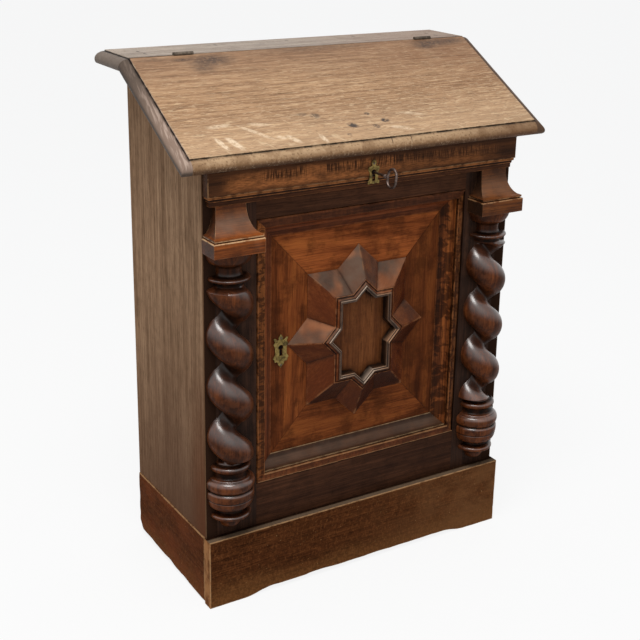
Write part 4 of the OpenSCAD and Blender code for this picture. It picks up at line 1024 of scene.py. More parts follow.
@dataclass
class Finishes:
    """Every finish on the chest, built once and handed to the pieces."""

    made: dict[str, bpy.types.Material] = field(default_factory=dict)

    def build(self, plan: "Plan") -> "Finishes":
        """Builds all the materials to the plan's lines."""
        def keyhole(x: float, y: float, z: float) -> tuple:
            """Painted shade behind a keyhole: its round and two smaller spots down its slot."""
            return tuple((x, y, z + dz, r, 1) for dz, r in ((0, 0.0055), (-0.007, 0.004), (-0.012, 0.004)))

        nails = [(x, 0.16565) for x in (0, -0.143, 0.143)]
        nails += [(x, y) for y in (0.14796, 0.11637) for x in (-0.297, 0.297)]
        nail_spots = tuple((x, y, plan.top, 0.0024, 0.75) for x, y in nails)
        # Four colours lead each wood: its dark, middle and light figure, and its rubbed arrises
        finishes: list[Wood | Metal] = [
            LidWood("oak_lid", (118, 88, 64), (162, 126, 94), (192, 156, 120), (220, 192, 156),
                    bands=20, weights=(0.14, 0.44, 0.42), contrast=0.9, mottle=0.1, dirt=1.15, rough=0.5, wear=0.6,
                    pores=0.4, specular=0.12, hinge_y=plan.hinge, hinge_z=plan.top),
            TopWood("oak_top", (118, 104, 92), (156, 140, 126), (184, 168, 152), (196, 180, 160),
                    rough=0.5, specular=0.12, mottle=0.2, dirt=1.6, spots=nail_spots, joint=plan.hinge),
            SideWood("oak_side", (110, 83, 62), (151, 119, 93), (178, 144, 114), (150, 112, 82),
                     specular=0, bands=30, weights=(0.3, 0.4, 0.3), mottle=0.15, rough=0.55, face=plan.face,
                     pores=0.5, even=0.8),
            PlinthWood("oak_plinth", (48, 24, 11), (78, 43, 22), (102, 60, 32), (176, 136, 96),
                       specular=0.006, rough=0.55, specks=0.4, wear=0.7, even=0.45, bump=0.7, mottle_size=90,
                       weights=(0.2, 0.3, 0.5), contrast=0.8, cross=0.2, cross_size=(300, 240, 240),
                       front=plan.face + 0.004),
            Wood("pine_inner", (118, 90, 62), (152, 120, 84), (178, 146, 106), (190, 160, 120),
                 grain=Grain.X, rough=0.7, mottle=0.35, mottle_size=12),
            Wood("pine_upright", (104, 80, 56), (136, 108, 78), (160, 132, 98), (180, 150, 112),
                 grain=Grain.Z, rough=0.72, mottle=0.35, mottle_size=12),
            Wood("dark_rail", (38, 21, 14), (64, 39, 26), (90, 56, 38), (120, 78, 48),
                 grain=Grain.X, rough=0.45, contrast=0.8, specular=0.03),
            Wood("dark_stile", (32, 20, 14), (52, 33, 24), (72, 47, 34), (120, 78, 48),
                 grain=Grain.Z, rough=0.45, mottle=0.4),
            RubbedWood("frieze_wood", (42, 24, 13), (68, 40, 23), (90, 54, 31), (170, 130, 92),
                       rough=0.45, mottle=0.2, spots=keyhole(0, plan.frieze, plan.key_z)),
            # A little painted sheen on the moulding's upward faces
            Wood("moulding_wood", (42, 22, 12), (66, 37, 21), (90, 52, 30), (176, 112, 64),
                 wear=0.8, even=0.5, bloom=0.25),
            # Painted sheen on the flare, and painted shade on faces turned left
            Wood("capital_wood", (78, 38, 17), (134, 70, 29), (170, 96, 43), (206, 168, 126),
                 rough=0.4, wear=0.85, even=0.3, bloom=0.78, pale=(126, 102, 86), pink=(146, 104, 78), specular=0.1,
                 mottle=0.4, flank=0.66),
            # A shaded copy of the capital wood for the right capital: darker colours and a darker left face as painted
            # shade
            Wood("capital_dark", (60, 30, 14), (95, 51, 21), (123, 71, 32), (176, 132, 92),
                 rough=0.4, wear=0.6, even=0.2, bloom=0.5, pale=(122, 100, 84), pink=(130, 96, 74), specular=0.1,
                 mottle=0.35, flank=0.85),
            Wood("column_wood", (38, 18, 8), (71, 35, 16), (114, 60, 27), (130, 76, 46), specular=0.04,
                 rough=0.4, coat=1, coat_rough=0.29, wear=0.25, bands=18, pores=0.2, bump=0.2,
                 dirt=1, weights=(0.5, 0.3, 0.2), mottle=0.35),
            Wood("band_wood", (62, 30, 13), (106, 58, 28), (142, 84, 42), (164, 104, 62),
                 cross=0.7, wear=0.5, mottle=0.4, cross_size=(150, 60, 60)),
            Wood("band_brown", (58, 28, 15), (92, 49, 27), (120, 68, 38), (170, 126, 86),
                 cross=0.35, wear=0.65, even=0.6, mottle=0.4),
            Wood("band_plain", (48, 25, 14), (80, 43, 25), (110, 62, 36), (120, 74, 44),
                 cross=0.3, wear=0.3, mottle=0.4),
            Wood("hollow_mottled", (62, 30, 14), (112, 60, 30), (158, 90, 42), (140, 82, 42),
                 cross=0.7, wear=0.3, mottle=0.4, cross_size=(70, 45, 45), contrast=1.2),
            Wood("hollow_red", (68, 32, 16), (112, 57, 29), (138, 77, 40), (150, 90, 50),
                 wear=0.4),
            # Painted sheen on the bottom hollow, which faces up
            Wood("hollow_brown", (44, 26, 16), (68, 42, 27), (88, 56, 37), (178, 146, 108),
                 rough=0.36, wear=0.75, even=0.6, bloom=0.62, pale=(98, 80, 68), pink=(108, 82, 66), specular=0.1),
            Wood("field_wood", (80, 39, 19), (137, 72, 36), (174, 98, 48), (120, 64, 32),
                 bands=16, twist=2.4, pores=0.3, wear=0.15, mottle=0.5, mottle_size=26,
                 weights=(0.5, 0.28, 0.22), specular=0.02, spots=keyhole(*plan.hole)),
            # Painted sheen on facets turned up and to the front, painted light on facets turned left, painted shade on
            # facets turned down
            Wood("star_wood", (58, 20, 6), (84, 38, 16), (114, 60, 28), (160, 108, 70),
                 rough=0.4, twist=1, pores=0.3, wear=0.5, mottle=0.35, mottle_size=45, bloom=0.85,
                 pale=(104, 90, 78), pink=(168, 112, 80), side=(132, 70, 36), flank=0.5, under=0.75, specular=0.06),
            # Strong painted sheen as highlights on the bead's upward faces, and soiling with painted shade in its
            # grooves
            Wood("bead_wood", (24, 14, 7), (42, 24, 14), (61, 37, 22), (150, 112, 82),
                 rough=0.34, wear=0.25, even=0.4, dirt=1.5, bloom=1.15, pale=(186, 166, 148), pink=(176, 132, 100),
                 specular=0.25),
            Wood("tablet_wood", (68, 36, 17), (98, 55, 28), (122, 73, 39), (110, 68, 38),
                 wear=0.2, dirt=0.9, bands=14, contrast=0.8),
            Metal("aged_brass", (136, 116, 68), (78, 66, 40), 0.42),
            Metal("dark_iron", (110, 98, 86), (76, 66, 56), 0.6, 0.7),
            Metal("filed_steel", (134, 128, 122), (92, 86, 82), 0.45),
            Metal("key_steel", (112, 96, 90), (72, 60, 54), 0.42, 0.9),
        ]
        for finish in finishes:
            self.made[finish.name] = finish.make()
        return self

    def __getitem__(self, name: str) -> bpy.types.Material:
        """The material of that name."""
        return self.made[name]

    def paint(self, name: str, *nodes: str) -> None:
        """Gives CAD nodes a material in all their slots."""
        for node in nodes:
            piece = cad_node(node)
            for slot in piece.material_slots:
                slot.material = self.made[name]


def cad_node(name: str) -> bpy.types.Object:
    """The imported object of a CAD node."""
    return FRAME["nodes"][name]


@dataclass(frozen=True)
class Plan:
    """The lines that the pieces share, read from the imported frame."""

    face: float
    frieze: float
    half: float
    hinge: float
    top: float
    key_z: float
    hole: Triple
    slope: float = radians(29)

    @classmethod
    def read(cls) -> "Plan":
        """Reads the lines from the nodes' boxes."""
        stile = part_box("stile_left")
        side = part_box("side_panel_left")
        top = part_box("top_board")
        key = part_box("key")
        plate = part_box("door_escutcheon")
        return cls(face=stile[0][1], frieze=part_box("frieze")[0][1], half=-side[0][0], hinge=top[0][1] - SEAM,
                   top=top[1][2], key_z=(key[0][2] + key[1][2]) / 2,
                   hole=((plate[0][0] + plate[1][0]) / 2, plate[1][1], plate[1][2] - 23.5 * MM))


def thumb_rows(thick: float) -> list[Row]:
    """A thumb moulding: a quirk with soiling and painted shade, a quarter ellipse outwards and a smaller one under it.
    """
    rows = [Row(30, 0), Row(18.9, 0), Row(18.4, -0.1, 0.8), Row(18, -0.5, 0.5), Row(17.8, -2, 0, 1)]
    a = np.linspace(0.06, pi / 2, 12)
    rows += [Row(17.9 - 17.9 * sin(t), -14.5 + 12.5 * cos(t), 0.2 * sin(t) ** 6,
                 max(0, 1 - (t - 0.06) / 0.2)) for t in a]
    b = np.linspace(0.2, pi / 2, 6)
    rows += [Row(5 - 5 * cos(t), -14.5 - (thick / MM - 14.5) * sin(t), 0.2 * cos(t)) for t in b]
    rows.append(Row(12, -thick / MM))
    return [Row(r.inset * MM, r.height * MM, r.wear, r.dirt) for r in rows]


@dataclass
class LidAndTop:
    """The sloping lid and the narrow top board that it hangs from."""

    plan: Plan
    thick: float = 22 * MM
    mitre: float = radians(14.5)
    overhang: float = 40.6 * MM

    def __post_init__(self) -> None:
        """Works the lid's size out: its back edge is at the hinge line and its front edge hangs over the face."""
        self.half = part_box("lid_board")[1][0]
        self.lid_len = (self.plan.hinge - self.plan.face + self.overhang) / cos(self.plan.slope)

    def lid(self) -> Skin:
        """The lid in its place: a slab moulded on three sides, with its back edge cut on the mitre."""
        rows = thumb_rows(self.thick)
        nx, ny = 110, 60
        skin = slab((-self.half, -self.lid_len), (self.half, -SEAM), rows, (nx, ny), (1, 1, 1, 0), 0, 11)
        p = skin.points
        self.pocket(p[-(nx + 1) * (ny + 1):].reshape(nx + 1, ny + 1, 3))
        back = np.clip(1 + p[:, 1] / 0.03, 0, 1)
        shift = np.zeros_like(p)
        shift[:, 1] = p[:, 2] * tan(self.mitre) * back
        shift[:, 2] = 0.25 * MM * ripple(p, 0.31, 5) * np.clip(-p[:, 1] / 0.02, 0, 1)
        skin.moved(shift).worn(0.35 * MM, 0.08, 21)
        c, s = cos(self.plan.slope), sin(self.plan.slope)
        return skin.placed((0, self.plan.hinge, self.plan.top), (1, 0, 0), (0, c, s), (0, -s, c))

    def pocket(self, sheet: np.ndarray) -> None:
        """Dents the lid's lower face for the strike plate, deeper for the bolt, with grid lines moved to their edges.

        Args:
            sheet: The lower face's points in rows across and along, changed in place.
        """
        lo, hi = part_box("lid_strike_plate")
        c, s = cos(self.plan.slope), sin(self.plan.slope)
        y = ((lo[1] + hi[1]) / 2 - self.plan.hinge) * c + ((lo[2] + hi[2]) / 2 - self.plan.top) * s
        m = len(sheet) // 2
        k = int(np.argmin(np.abs((sheet[m, :-3, 1] + sheet[m, 3:, 1]) / 2 - y)))
        sheet[m - 2:m + 3, :, 0] = np.array([-20.2, -12.5, 0.0, 12.5, 20.2])[:, None] * MM
        sheet[:, k:k + 4, 1] = y + np.array([-8.1, -4.2, 6.2, 8.1]) * MM
        sheet[m - 2:m + 3, k:k + 4, 2] = 1.7 * MM - self.thick
        sheet[m - 1:m + 2, k + 1:k + 3, 2] = 7.5 * MM - self.thick

    def top(self) -> Skin:
        """The top board in its place: moulded at both ends, square behind, cut on the mitre in front."""
        rows = thumb_rows(self.thick)
        y1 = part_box("top_board")[1][1]
        skin = slab((-self.half, self.plan.hinge + SEAM), (self.half, y1), rows, (90, 16), (1, 1, 0, 0.08), 0, 12)
        p = skin.points
        front = np.clip(1 - (p[:, 1] - self.plan.hinge) / 0.03, 0, 1)
        shift = np.zeros_like(p)
        shift[:, 1] = -p[:, 2] * tan(self.mitre) * front
        skin.moved(shift).worn(0.4 * MM, 0.08, 22)
        return skin.placed((0, 0, self.plan.top), *LYING)

    def build(self, finishes: Finishes) -> None:
        """Builds and dresses both boards and their hinges."""
        dress("lid", self.lid(), finishes["oak_lid"], "lid", ["lid_board"])
        dress("top", self.top(), finishes["oak_top"], "carcass", ["top_board"])
        finishes.paint("dark_iron", "hinge_leaves_fixed", "hinge_leaves_lid", "hinge_pins", "hinge_screws_fixed",
                       "hinge_screws_lid", "top_nails")
        finishes.paint("aged_brass", "lid_strike_plate")


@dataclass
class Carcass:
    """Side panels, plinth, frieze and its moulding, with the plain inner boards left as the frame has them."""

    plan: Plan

    def side(self, side: Side) -> Skin:
        """A side panel: a slab in y and z whose top follows the lid's slope and the top board's underside.

        Args:
            side: Which one.

        Returns:
            The panel in its place.
        """
        lo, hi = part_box(f"side_panel_{side.word}")
        high = hi[2] - lo[2]
        skin = slab((lo[1], 0.0), (hi[1], high), eased(hi[0] - lo[0], 0.7 * MM, low_wear=0.0), (34, 70), along=1,
                    seed=31 + side.value)
        p = skin.points
        front = self.plan.top - (self.plan.hinge - p[:, 0]) * tan(self.plan.slope)
        under = np.minimum(front - 22 * MM / cos(self.plan.slope) - 0.3 * MM, hi[2]) - lo[2]
        p[:, 1] *= under / high
        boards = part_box("back_boards")
        inner = p[:, 2] < -0.5 * (hi[0] - lo[0])
        lines = lo[1] + crowded(34) * (hi[1] - lo[1])
        k = int(np.argmin(np.abs(lines - boards[0][1])))
        for line, move in zip(lines[k:k + 2], (-0.02, 0.02)):
            p[inner & (np.abs(p[:, 0] - line) < 0.9 * MM), 0] = boards[0][1] + move * MM
        p[inner & (p[:, 0] > boards[0][1]), 2] = boards[1][0] - self.plan.half
        x = lo[0] if side is Side.LEFT else hi[0]
        skin.placed((x, 0, lo[2]), (0, 1, 0), (0, 0, 1), (float(side.value), 0, 0))
        out = np.zeros_like(skin.points)
        fade = np.clip((hi[2] - skin.points[:, 2]) * 20, 0, 1) * np.clip((hi[1] - skin.points[:, 1]) * 50, 0, 1)
        out[:, 0] = side.value * 0.35 * MM * (ripple(skin.points, 0.4, 7) - 1) * fade
        return skin.moved(out)

    def plinth_front(self) -> Skin:
        """The plinth's front board: a slab whose lower edge lifts between its feet, with worn arrises."""
        lo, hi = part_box("plinth_front")
        w, h = hi[0] - lo[0], hi[2]
        skin = slab((-w / 2, 0.0), (w / 2, h), eased(hi[1] - lo[1], 1.0 * MM, 0.8 * MM), (120, 22), along=0, seed=41)
        p = skin.points
        t = np.clip((w / 2 - np.abs(p[:, 0]) - 69 * MM) / (56 * MM), 0, 1)
        lift = 8 * MM * 0.5 * (1 - np.cos(pi * t))
        rough = np.clip(ripple(p * [1, 0, 0], 0.09, 3) + 0.5 * ripple(p * [1, 0, 0], 0.03, 4), -0.4, 1) * 1.2 * MM
        lift += np.clip(rough, 0, 1) * np.clip(t * 3 + 0.3, 0, 1)
        p[:, 1] += lift * np.clip(1 - p[:, 1] / h, 0, 1) ** 2
        skin.worn(0.8 * MM, 0.05, 42)
        return skin.placed((0, lo[1], 0), *FACING)

    def plinth_side(self, side: Side) -> Skin:
        """A plinth side: a slab whose lower edge is worn off the floor towards the back.

        Args:
            side: Which one.

        Returns:
            The board in its place.
        """
        lo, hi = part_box(f"plinth_{side.word}")
        d, h = hi[1] - lo[1], hi[2]
        skin = slab((0.0, 0.0), (d, h), eased(hi[0] - lo[0], 1.2 * MM), (44, 20), along=0, seed=44 + side.value)
        p = skin.points
        u = p[:, 0]
        corner = 12 * MM
        lift = 3 * MM + 10 * MM * np.clip(u / (d - corner), 0, 1) + 1.4 * np.clip(u - d + corner, 0, 1)
        lift += 0.7 * MM * ripple(p * [1, 0, 0], 0.06, 8 + side.value)
        p[:, 1] += lift * np.clip(1 - p[:, 1] / h, 0, 1) ** 2
        skin.worn(1.2 * MM, 0.05, 45 + side.value)
        x = lo[0] if side is Side.LEFT else hi[0]
        return skin.placed((x, lo[1], 0), (0, 1, 0), (0, 0, 1), (float(side.value), 0, 0))

    def frieze(self) -> Skin:
        """The frieze: a slab in x and z with a small bead under the lid, its top bevelled to the lid's slope."""
        lo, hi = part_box("frieze")
        tall = hi[2] - lo[2] - (hi[1] - lo[1]) * tan(self.plan.slope)
        skin = slab((lo[0], 0.0), (hi[0], tall), eased(hi[1] - lo[1], 1.0 * MM), (110, 16), along=0, seed=51)
        p = skin.points
        # Painted shadow of the lid, with soiling, darkening the frieze's top
        skin.dirt = np.clip((p[:, 1] - tall + 9 * MM) / (3 * MM), 0, 1) * 0.8
        rise = -p[:, 2] * tan(self.plan.slope)
        p[:, 1] *= 1 + rise / tall
        p[:, 2] = np.where((p[:, 2] > -2 * MM) & (p[:, 1] > tall - 6.5 * MM), p[:, 2] + 1.6 * MM, p[:, 2])
        skin.worn(0.5 * MM, 0.03, 52)
        return skin.placed((0, lo[1], lo[2]), *FACING)

    def cornice(self) -> Skin:
        """The moulding under the frieze: a slab seen from above whose rim steps in towards its foot."""
        lo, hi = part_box("cornice_moulding")
        # Each step is inset, height, wear, and soiling with painted shade in the step's recesses
        steps = [(3.4, 0, 0, 0.6), (2.8, -0.1, 0.2, 0.6), (2.2, -0.2, 0.9, 0), (2, -0.8, 1, 0), (2, -2, 0.4, 0),
                 (2, -3.4, 0.9, 0), (2.6, -4.2, 0.4, 0), (4.2, -5, 0, 1), (4.6, -6, 0, 1), (4.5, -7.6, 0, 0.2),
                 (4.5, -8.2, 0.8, 0), (4.9, -8.9, 0.8, 0), (5.6, -9.2, 0, 0.8), (5.9, -10.2, 0, 0.6), (6, -12, 0, 0),
                 (6, -15.8, 0.1, 0), (6, -16.4, 0.6, 0), (6.6, -17, 0, 0.5)]
        rows = [Row(i * MM, z * MM, w, d) for i, z, w, d in steps]
        skin = slab((lo[0] - 2 * MM, lo[1] - 2 * MM), (hi[0] + 2 * MM, hi[1]), rows, (100, 8), (1, 1, 1, 0), 0, 53)
        skin.worn(0.3 * MM, 0.03, 54)
        return skin.placed((0, 0, hi[2]), *LYING)

    def build(self, finishes: Finishes) -> None:
        """Builds and dresses the carcass."""
        for side in Side:
            dress(f"side_{side.word}", self.side(side), finishes["oak_side"], "carcass",
                  [f"side_panel_{side.word}"])
            dress(f"plinth_end_{side.word}", self.plinth_side(side), finishes["oak_plinth"], "carcass",
                  [f"plinth_{side.word}"])
        dress("plinth_board", self.plinth_front(), finishes["oak_plinth"], "carcass", ["plinth_front"])
        dress("frieze_board", self.frieze(), finishes["frieze_wood"], "carcass", ["frieze"])
        dress("frieze_steps", self.cornice(), finishes["moulding_wood"], "carcass", ["cornice_moulding"])
        finishes.paint("pine_upright", "back_boards", "plinth_blocks", "shelf_battens", "door_stops")
        finishes.paint("pine_inner", "cupboard_floor", "cupboard_shelf", "desk_floor", "plinth_back")
        finishes.paint("dark_stile", "stile_left", "stile_right")
        finishes.paint("dark_rail", "bottom_rail", "top_rail")
        finishes.paint("dark_iron", "door_keep", "pivot_pins")
        finishes.paint("filed_steel", "desk_lock_case", "desk_lock_cap", "desk_lock_spring", "desk_lock_bolt")


# Turned outline below the twist, as radius, height above the foot, and soiling with painted shade in its coves
TURNED_FOOT = [
    (0, 0, 0), (4, 0, 0), (7.6, 0.5, 0), (11, 1.6, 0), (14, 3.4, 0), (16.2, 5.6, 0), (17.6, 8.2, 0), (18.6, 11.6, 0),
    (19.2, 14.6, 0.6), (20.6, 17.4, 0.8), (24, 20.2, 0.3), (29, 21.8, 0), (32.6, 22.8, 0), (34.8, 24.4, 0),
    (35.7, 27, 0), (35.2, 29.2, 0), (33.4, 30.6, 0), (30, 31.3, 0.5), (26, 32.2, 1), (24.2, 34, 1), (23.5, 36.8, 0.8),
    (24.6, 39.4, 0.5), (27.4, 41, 0.2), (30.5, 41.4, 0), (34.4, 42.8, 0), (37.6, 46, 0), (39.6, 50, 0), (40.5, 54, 0),
    (40.8, 56.6, 0), (40.4, 57.6, 0.6), (39.8, 58.2, 1), (40.6, 59, 0.6), (41.6, 60.2, 0), (41.9, 64, 0), (42, 69, 0),
    (41.6, 71.6, 0), (40.4, 73, 0.3), (38.8, 74.4, 1), (38.5, 75.4, 1), (39.8, 76.8, 0.4), (41.4, 79.4, 0),
    (42.6, 83, 0), (42.8, 87, 0), (42.2, 90.6, 0), (40.4, 93.6, 0), (38, 95.4, 0), (36.6, 96.2, 0.3), (36.4, 97.6, 0),
    (35.2, 98.6, 0), (32.6, 99.4, 0.6), (30, 101.4, 1), (28.7, 104.4, 1), (28.7, 107.6, 0.9), (30, 110, 0.6),
    (32.6, 111.6, 0.2), (34.6, 113.4, 0), (35.4, 116.2, 0), (34.8, 119, 0), (32.8, 120.8, 0.2), (29.6, 121.6, 0.8),
    (27.2, 122.6, 1), (26, 124, 1)]
# Turned outline above the twist, as radius, height above the twist, and soiling with painted shade in its coves
TURNED_NECK = [
    (25.6, 1.6, 1), (25.8, 4.2, 1), (27.8, 6.8, 0.8), (31.6, 8.6, 0.3), (34.6, 9.6, 0), (36.2, 11.2, 0),
    (36.5, 12.8, 0), (35.6, 14.4, 0), (33, 15.4, 0.2), (28.6, 16, 0.8), (24.6, 17, 1), (22.6, 19.2, 0.7),
    (21.8, 23, 0.3), (21.8, 27.6, 0.2), (22.4, 31.4, 0.5), (24.4, 34.2, 0.8), (26.2, 35.8, 0.4), (29.8, 37, 0),
    (33.4, 39.6, 0), (36.4, 43.4, 0), (38.6, 48, 0), (39.9, 52.4, 0), (40.3, 56.9, 0)]


@dataclass
class Columns:
    """Two half columns against the face frame: turned foot and neck, with a left-handed twist between them."""

    plan: Plan
    turns: float = 3.5
    largest: float = 41 * MM
    core: float = 11.5 * MM
    end: float = 25.5 * MM
    fade: float = 6.5 * MM
    band: float = 0.385
    base_h: float = 125 * MM
    neck_h: float = 57 * MM

    def twist(self, z: np.ndarray, a: np.ndarray, z0: float, z1: float, crest: float) -> np.ndarray:
        """Radius of the twist.

        A rounded band climbs round a thin core: across the band the radius is the core's plus a half circle's height,
        which runs out in a hollow at both edges, and the two ends fade to a plain round.

        Args:
            z: Heights of the points.
            a: Their angles round the column in degrees.
            z0: Where the twist starts.
            z1: Where it ends.
            crest: Height of the band's middle at 180 degrees.

        Returns:
            The radius at each point.
        """
        pitch = (z1 - z0) / self.turns
        t = (z - crest) / pitch + (a - 180) / 360
        t = np.abs(t - np.floor(t + 0.5)) / self.band
        crown = np.sqrt(np.maximum(0, 1 - t * t))
        hollow = 0.436 * np.clip((1.323 - t) / 0.423, 0, 1) ** 2
        r = self.core + (self.largest - self.core) * np.where(t < 0.9, crown, hollow)
        ease = [np.clip(v / self.fade, 0, 1) for v in (z - z0, z1 - z)]
        e = ease[0] ** 2 * (3 - 2 * ease[0]) * ease[1] ** 2 * (3 - 2 * ease[1])
        return self.end * (1 - e) + r * e

    def column(self, side: Side) -> Skin:
        """A column: half rings from foot to capital, closed by a flat back.

        Args:
            side: Which one.

        Returns:
            The column in its place.
        """
        lo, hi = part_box(f"column_{side.word}")
        foot, top = lo[2], hi[2]
        z0, z1 = foot + self.base_h, top - self.neck_h
        sides = 72
        a = np.linspace(180, 360, sides + 1)
        base = np.array(TURNED_FOOT) * [MM, MM, 1]
        neck = np.array(TURNED_NECK) * [MM, MM, 1]
        base, neck = (np.vstack([smoothed(b, 3), b[-1:]]) for b in (base, neck))
        base[:, 0] = np.maximum(base[:, 0], 0.0)
        zs = np.linspace(z0 + 0.5 * MM, z1 - 0.5 * MM, 210)
        pitch = (z1 - z0) / self.turns
        crest = z0 + pitch * (1.54 if side is Side.LEFT else 2.04)
        gz, ga = np.meshgrid(zs, a, indexing="ij")
        twist = self.twist(gz, ga, z0, z1, crest)
        lathe_low = np.repeat(base[:, :1], sides + 1, 1)
        lathe_top = np.repeat(neck[:, :1], sides + 1, 1)
        r = np.vstack([lathe_low, twist, lathe_top])
        z = np.concatenate([foot + base[:, 1], zs, z1 + neck[:, 1]])
        # Painted shade, with soiling, in the hollows between the twist's bands
        hollow = np.clip(1 - (twist - self.core) / (14 * MM), 0, 1) * 0.8
        dirt = np.vstack([np.repeat(base[:, 2:], sides + 1, 1), hollow, np.repeat(neck[:, 2:], sides + 1, 1)])
        rad = np.radians(ga[0])
        x = (lo[0] + hi[0]) / 2
        gz = np.repeat(z[:, None], sides + 1, 1)
        points = np.stack([x + r * np.cos(rad), self.plan.face + r * np.sin(rad), gz], -1)
        grain = points[..., [2, 0, 1]] + cut(60 + side.value, 2.0)
        wear = np.clip((r - 38 * MM) / (4 * MM), 0, 1)
        return sweep(points[:, ::-1], grain[:, ::-1], wear[:, ::-1], dirt[:, ::-1])

    def build(self, finishes: Finishes) -> None:
        """Builds and dresses both columns."""
        for side in Side:
            dress(f"twist_column_{side.word}", self.column(side), finishes["column_wood"], "carcass",
                  [f"column_{side.word}"], 50)


@dataclass
class Capitals:
    """Square blocks over the columns, with a hollow flare that rises to the moulding."""

    plan: Plan

    def capital(self, side: Side) -> tuple[Skin, Skin]:
        """A capital's block and its flare, as two slabs with the same plan.

        Args:
            side: Which one.

        Returns:
            Both in their places.
        """
        lo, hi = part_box(f"capital_{side.word}")
        w, d = hi[0] - lo[0], hi[1] - lo[1]
        block_h = 24.5 * MM
        block = slab((lo[0], lo[1]), (hi[0], hi[1]), eased(block_h, 1.0 * MM, low_wear=0.25), (26, 14), (1, 1, 1, 0),
                     0, 71, 0.45)
        block.worn(0.5 * MM, 0.03, 72 + side.value)
        block.placed((0, 0, lo[2] + block_h), *LYING)
        z_lip = block_h + 1.8 * MM
        top = hi[2] - lo[2]
        side_in, front_in = (w - 0.59 * w) / 2 - 2 * MM, d - 2 * MM - 12 * MM
        rise = top - z_lip - 3.5 * MM
        a = np.linspace(pi / 2, 0, 16)
        inset = 2 * MM
        # Soiling and painted shade at the flare's top and in the groove under its lip
        rows = [Row(inset + side_in, top, 0.0, 0.0, inset + front_in)]
        rows += [Row(inset + side_in * sin(t), z_lip + 3.5 * MM + rise * (1 - cos(t)), 0.0,
                     0.7 * max(0.0, sin(t) * 6 - 5), inset + front_in * sin(t)) for t in a]
        rows += [Row(inset, z_lip + 2.6 * MM, 0.3), Row(2.0 * MM, z_lip + 0.8 * MM, 1.0), Row(2.6 * MM, z_lip, 0.6),
                 Row(4.0 * MM, z_lip - 0.2 * MM, 0.0, 1.0), Row(4.0 * MM, block_h - 0.5 * MM, 0.0, 1.0)]
        flare = slab((lo[0], lo[1]), (hi[0], hi[1]), rows, (26, 14), (1, 1, 1, 0), 0, 73 + side.value, 0.7)
        flare.worn(0.3 * MM, 0.03, 74)
        flare.placed((0, 0, lo[2]), *LYING)
        return block, flare

    def build(self, finishes: Finishes) -> None:
        """Builds and dresses both capitals."""
        for side in Side:
            finish = finishes["capital_wood" if side is Side.LEFT else "capital_dark"]
            for part, skin in zip(("block", "flare"), self.capital(side)):
                dress(f"capital_{part}_{side.word}", skin, finish, "carcass", [f"capital_{side.word}"])


